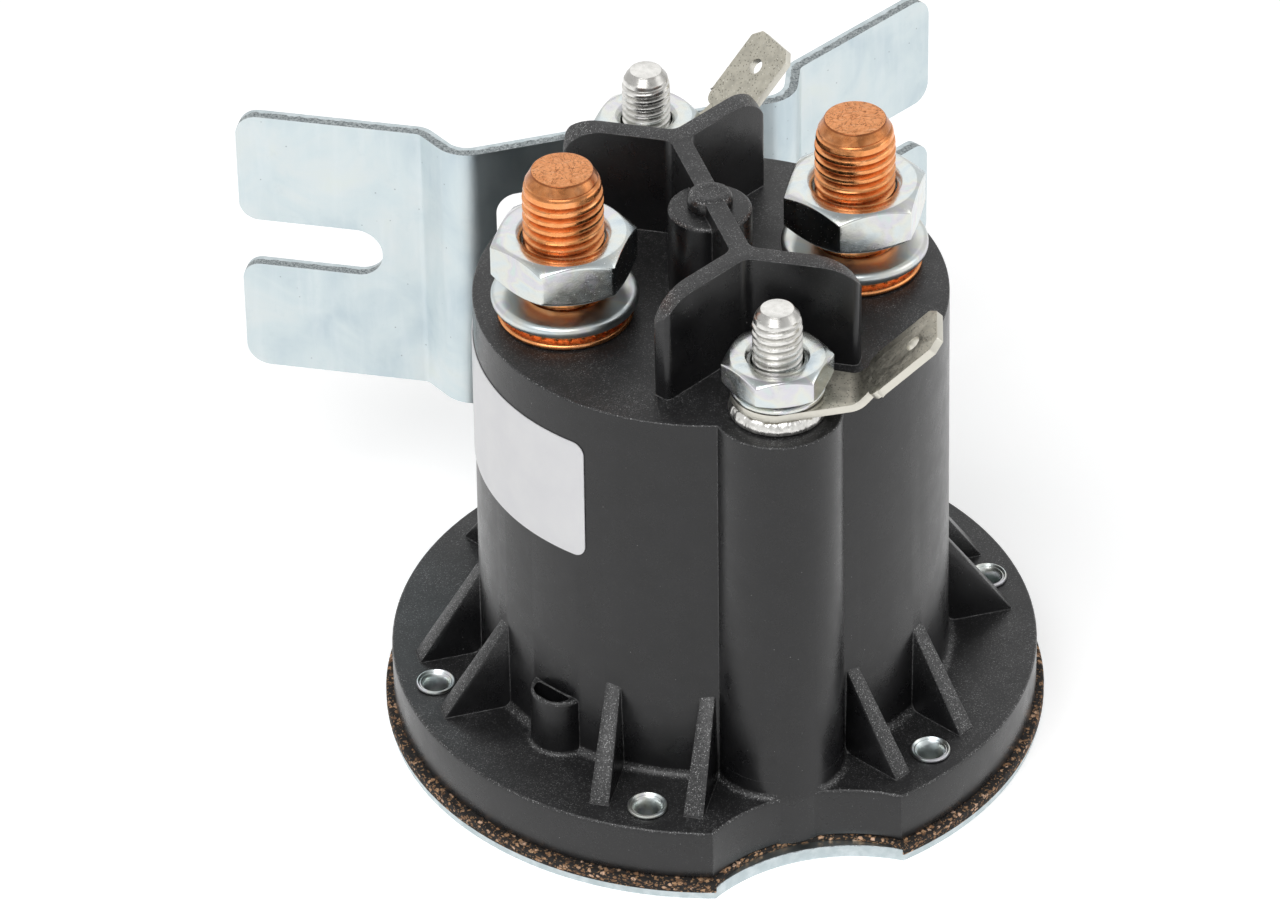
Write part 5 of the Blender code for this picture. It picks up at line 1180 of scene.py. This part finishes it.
def studio():
    scene = bpy.context.scene
    scene.view_settings.view_transform = "Standard"
    world = bpy.data.worlds.new("studio")
    scene.world = world
    world.use_nodes = True
    nodes = NodeSet(world.node_tree)
    sky = world.node_tree.nodes["Background"]
    nodes.feed(sky.inputs["Color"], (1.0, 1.0, 1.0, 1.0))
    way = nodes.add("ShaderNodeLightPath")
    seen = nodes.maths("MAXIMUM", way.outputs["Is Camera Ray"], way.outputs["Is Transmission Ray"])
    aim = nodes.add("ShaderNodeTexCoord").outputs["Generated"]
    height = nodes.add("ShaderNodeSeparateXYZ", Vector=aim).outputs[2]
    ceiling = nodes.add("ShaderNodeMapRange", Value=height, From_Min=0.72, From_Max=0.96,
                        To_Min=0.82, To_Max=0.42).outputs[0]
    towards = nodes.add("ShaderNodeVectorMath", {"operation": "DOT_PRODUCT"}, _0=aim,
                        _1=(-0.222, -0.778, 0.588)).outputs["Value"]
    dim_front = nodes.add("ShaderNodeMapRange", Value=towards, From_Min=0.84, From_Max=0.97,
                         To_Min=1.0, To_Max=0.55).outputs[0]
    mirrored = nodes.maths("MULTIPLY", ceiling, dim_front)
    shine = nodes.maths("MULTIPLY", way.outputs["Is Glossy Ray"], mirrored)
    soft = nodes.maths("MULTIPLY_ADD", way.outputs["Is Glossy Ray"], -0.40, 0.40)
    ambient = nodes.maths("ADD", soft, shine)
    nodes.feed(sky.inputs["Strength"], nodes.maths("MAXIMUM", seen, ambient))
    mesh = bpy.data.meshes.new("floor")
    wide = 3.0
    mesh.from_pydata([(-wide, -wide, 0), (wide, -wide, 0), (wide, wide, 0), (-wide, wide, 0)], [],
                     [(0, 1, 2, 3)])
    floor = bpy.data.objects.new("floor", mesh)
    scene.collection.objects.link(floor)
    paint = Paint("floor_white", (0.86, 0.86, 0.86), 0.7, 0.0, Specular_IOR_Level=0.0)
    way = paint.add("ShaderNodeLightPath")
    seen = paint.maths("MAXIMUM", way.outputs["Is Camera Ray"], way.outputs["Is Transmission Ray"])
    lit = paint.maths("MULTIPLY", seen, 0.42)
    lit = paint.maths("MULTIPLY_ADD", way.outputs["Is Glossy Ray"], 0.45, lit)
    paint.feed(paint.shader.inputs["Emission Color"], (1.0, 1.0, 1.0, 1.0))
    paint.set(Emission_Strength=lit)
    mesh.materials.append(paint.material)
    softbox("key", (-0.35, -0.45, 0.75), (0, 0, 0.03), (0.6, 0.6), 4.4)
    softbox("fill", (0.75, -0.25, 0.45), (0, 0, 0.03), (0.5, 0.6), 1.0)
    softbox("back", (0.1, 0.85, 0.75), (0, 0, 0.04), (1.2, 0.6), 0.9)


def camera():
    """The photograph's station point, fitted to the object's round and straight edges."""
    turn, rise, roll = math.radians(-15.935), math.radians(35.982), math.radians(-1.028)
    back = Vector((math.sin(turn) * math.cos(rise), -math.cos(turn) * math.cos(rise), math.sin(rise)))
    right = Vector((math.cos(turn), math.sin(turn), 0.0))
    up = back.cross(right)
    level = math.cos(roll) * right + math.sin(roll) * up
    above = math.cos(roll) * up - math.sin(roll) * right
    lens = bpy.data.cameras.new("camera")
    lens.sensor_width = 36.0
    lens.lens = 6894.656 / 1280 * 36.0
    lens.clip_start = 0.01
    holder = bpy.data.objects.new("camera", lens)
    bpy.context.scene.collection.objects.link(holder)
    spot = Vector((-10.574, -10.738, 40.0)) * MM + back * 0.67049
    axes = Matrix((level, above, back)).transposed().to_4x4()
    holder.matrix_world = Matrix.Translation(spot) @ axes
    bpy.context.scene.camera = holder


def wound_springs(finish):
    """The two coil springs, each wound between the ends of its CAD spring, the contact spring riding on
    the armature.
    """
    tree = spring_tree()
    for name, node, body, seat, coil, wire, turns, give in (
            ("return_coil_spring", "return_spring", "relay", 1, 3.3, 0.35, 4, 3.2),
            ("contact_coil_spring", "contact_spring", "armature", 0, 3.6, 0.3, 2, 0.8)):
        ends = [corner[2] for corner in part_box(node)]
        mesh = grown(name, tree, low=ends[0], high=ends[1], coil_radius=coil * MM,
                     wire_radius=wire * MM, open_turns=float(turns))
        piece = placed(name, cleaned(mesh), finish, body=body, replaces=[node])
        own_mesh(piece)


def inner_finishes():
    """Finishes for the CAD nodes inside the housing, which keep their shapes."""
    steel = plain_metal("soft_steel_plate", (0.50, 0.51, 0.53), 0.36)
    spring = plain_metal("spring_wire", (0.60, 0.61, 0.63), 0.28, 4.0)
    enamel = plain_metal("enamelled_copper", (0.45, 0.17, 0.06), 0.32, 5.0)
    brass = plain_metal("drawn_brass", (0.75, 0.60, 0.28), 0.28)
    sheet_copper = plain_metal("contact_copper", (0.85, 0.40, 0.22), 0.3)
    nylon = plain_moulding("natural_nylon_grain", (0.72, 0.69, 0.60), 0.5)
    rubber = plain_moulding("bumper_rubber", (0.03, 0.03, 0.03), 0.75)
    finishes = {
        steel: ("yoke_cup", "top_flux_plate", "pole_piece", "plunger", "plunger_rod"),
        spring: ("spring_clip", "rod_clip"),
        enamel: ("coil_winding", "front_coil_lead", "rear_coil_lead"),
        brass: ("plunger_sleeve",), sheet_copper: ("contact_disc",),
        nylon: ("coil_bobbin", "disc_bushing"), rubber: ("plunger_bumper",),
    }
    for finish, names in finishes.items():
        for name in names:
            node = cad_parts[name]
            for slot in node.material_slots:
                slot.material = finish
    wound_springs(spring)


def build():
    camera()
    studio()
    placed("moulded_housing", housing_mesh(), moulded_black(), replaces=["housing"])
    placed("folded_bracket", bracket_mesh(), zinc_sheet(), replaces=["base_bracket"])
    placed("cork_gasket", gasket_mesh(), cork_rubber(), replaces=["base_gasket"])
    placed("label_sticker", label_mesh(), label_film(), replaces=["side_label"])
    rivets = ring_of("rivets", eyelet_mesh(), 6)
    placed("tubular_rivets", cleaned(rivets), bright_zinc("rolled_zinc", 0.34), replaces=[f"eyelet_{k}" for k in range(1, 7)])
    zinc, washer_zinc = bright_zinc(), bright_zinc("washer_zinc", 0.33)
    power_hardware(bare_copper(), zinc, washer_zinc)
    coil_hardware(bright_tin(), tab_plate(), zinc, washer_zinc)
    inner_finishes()


build()
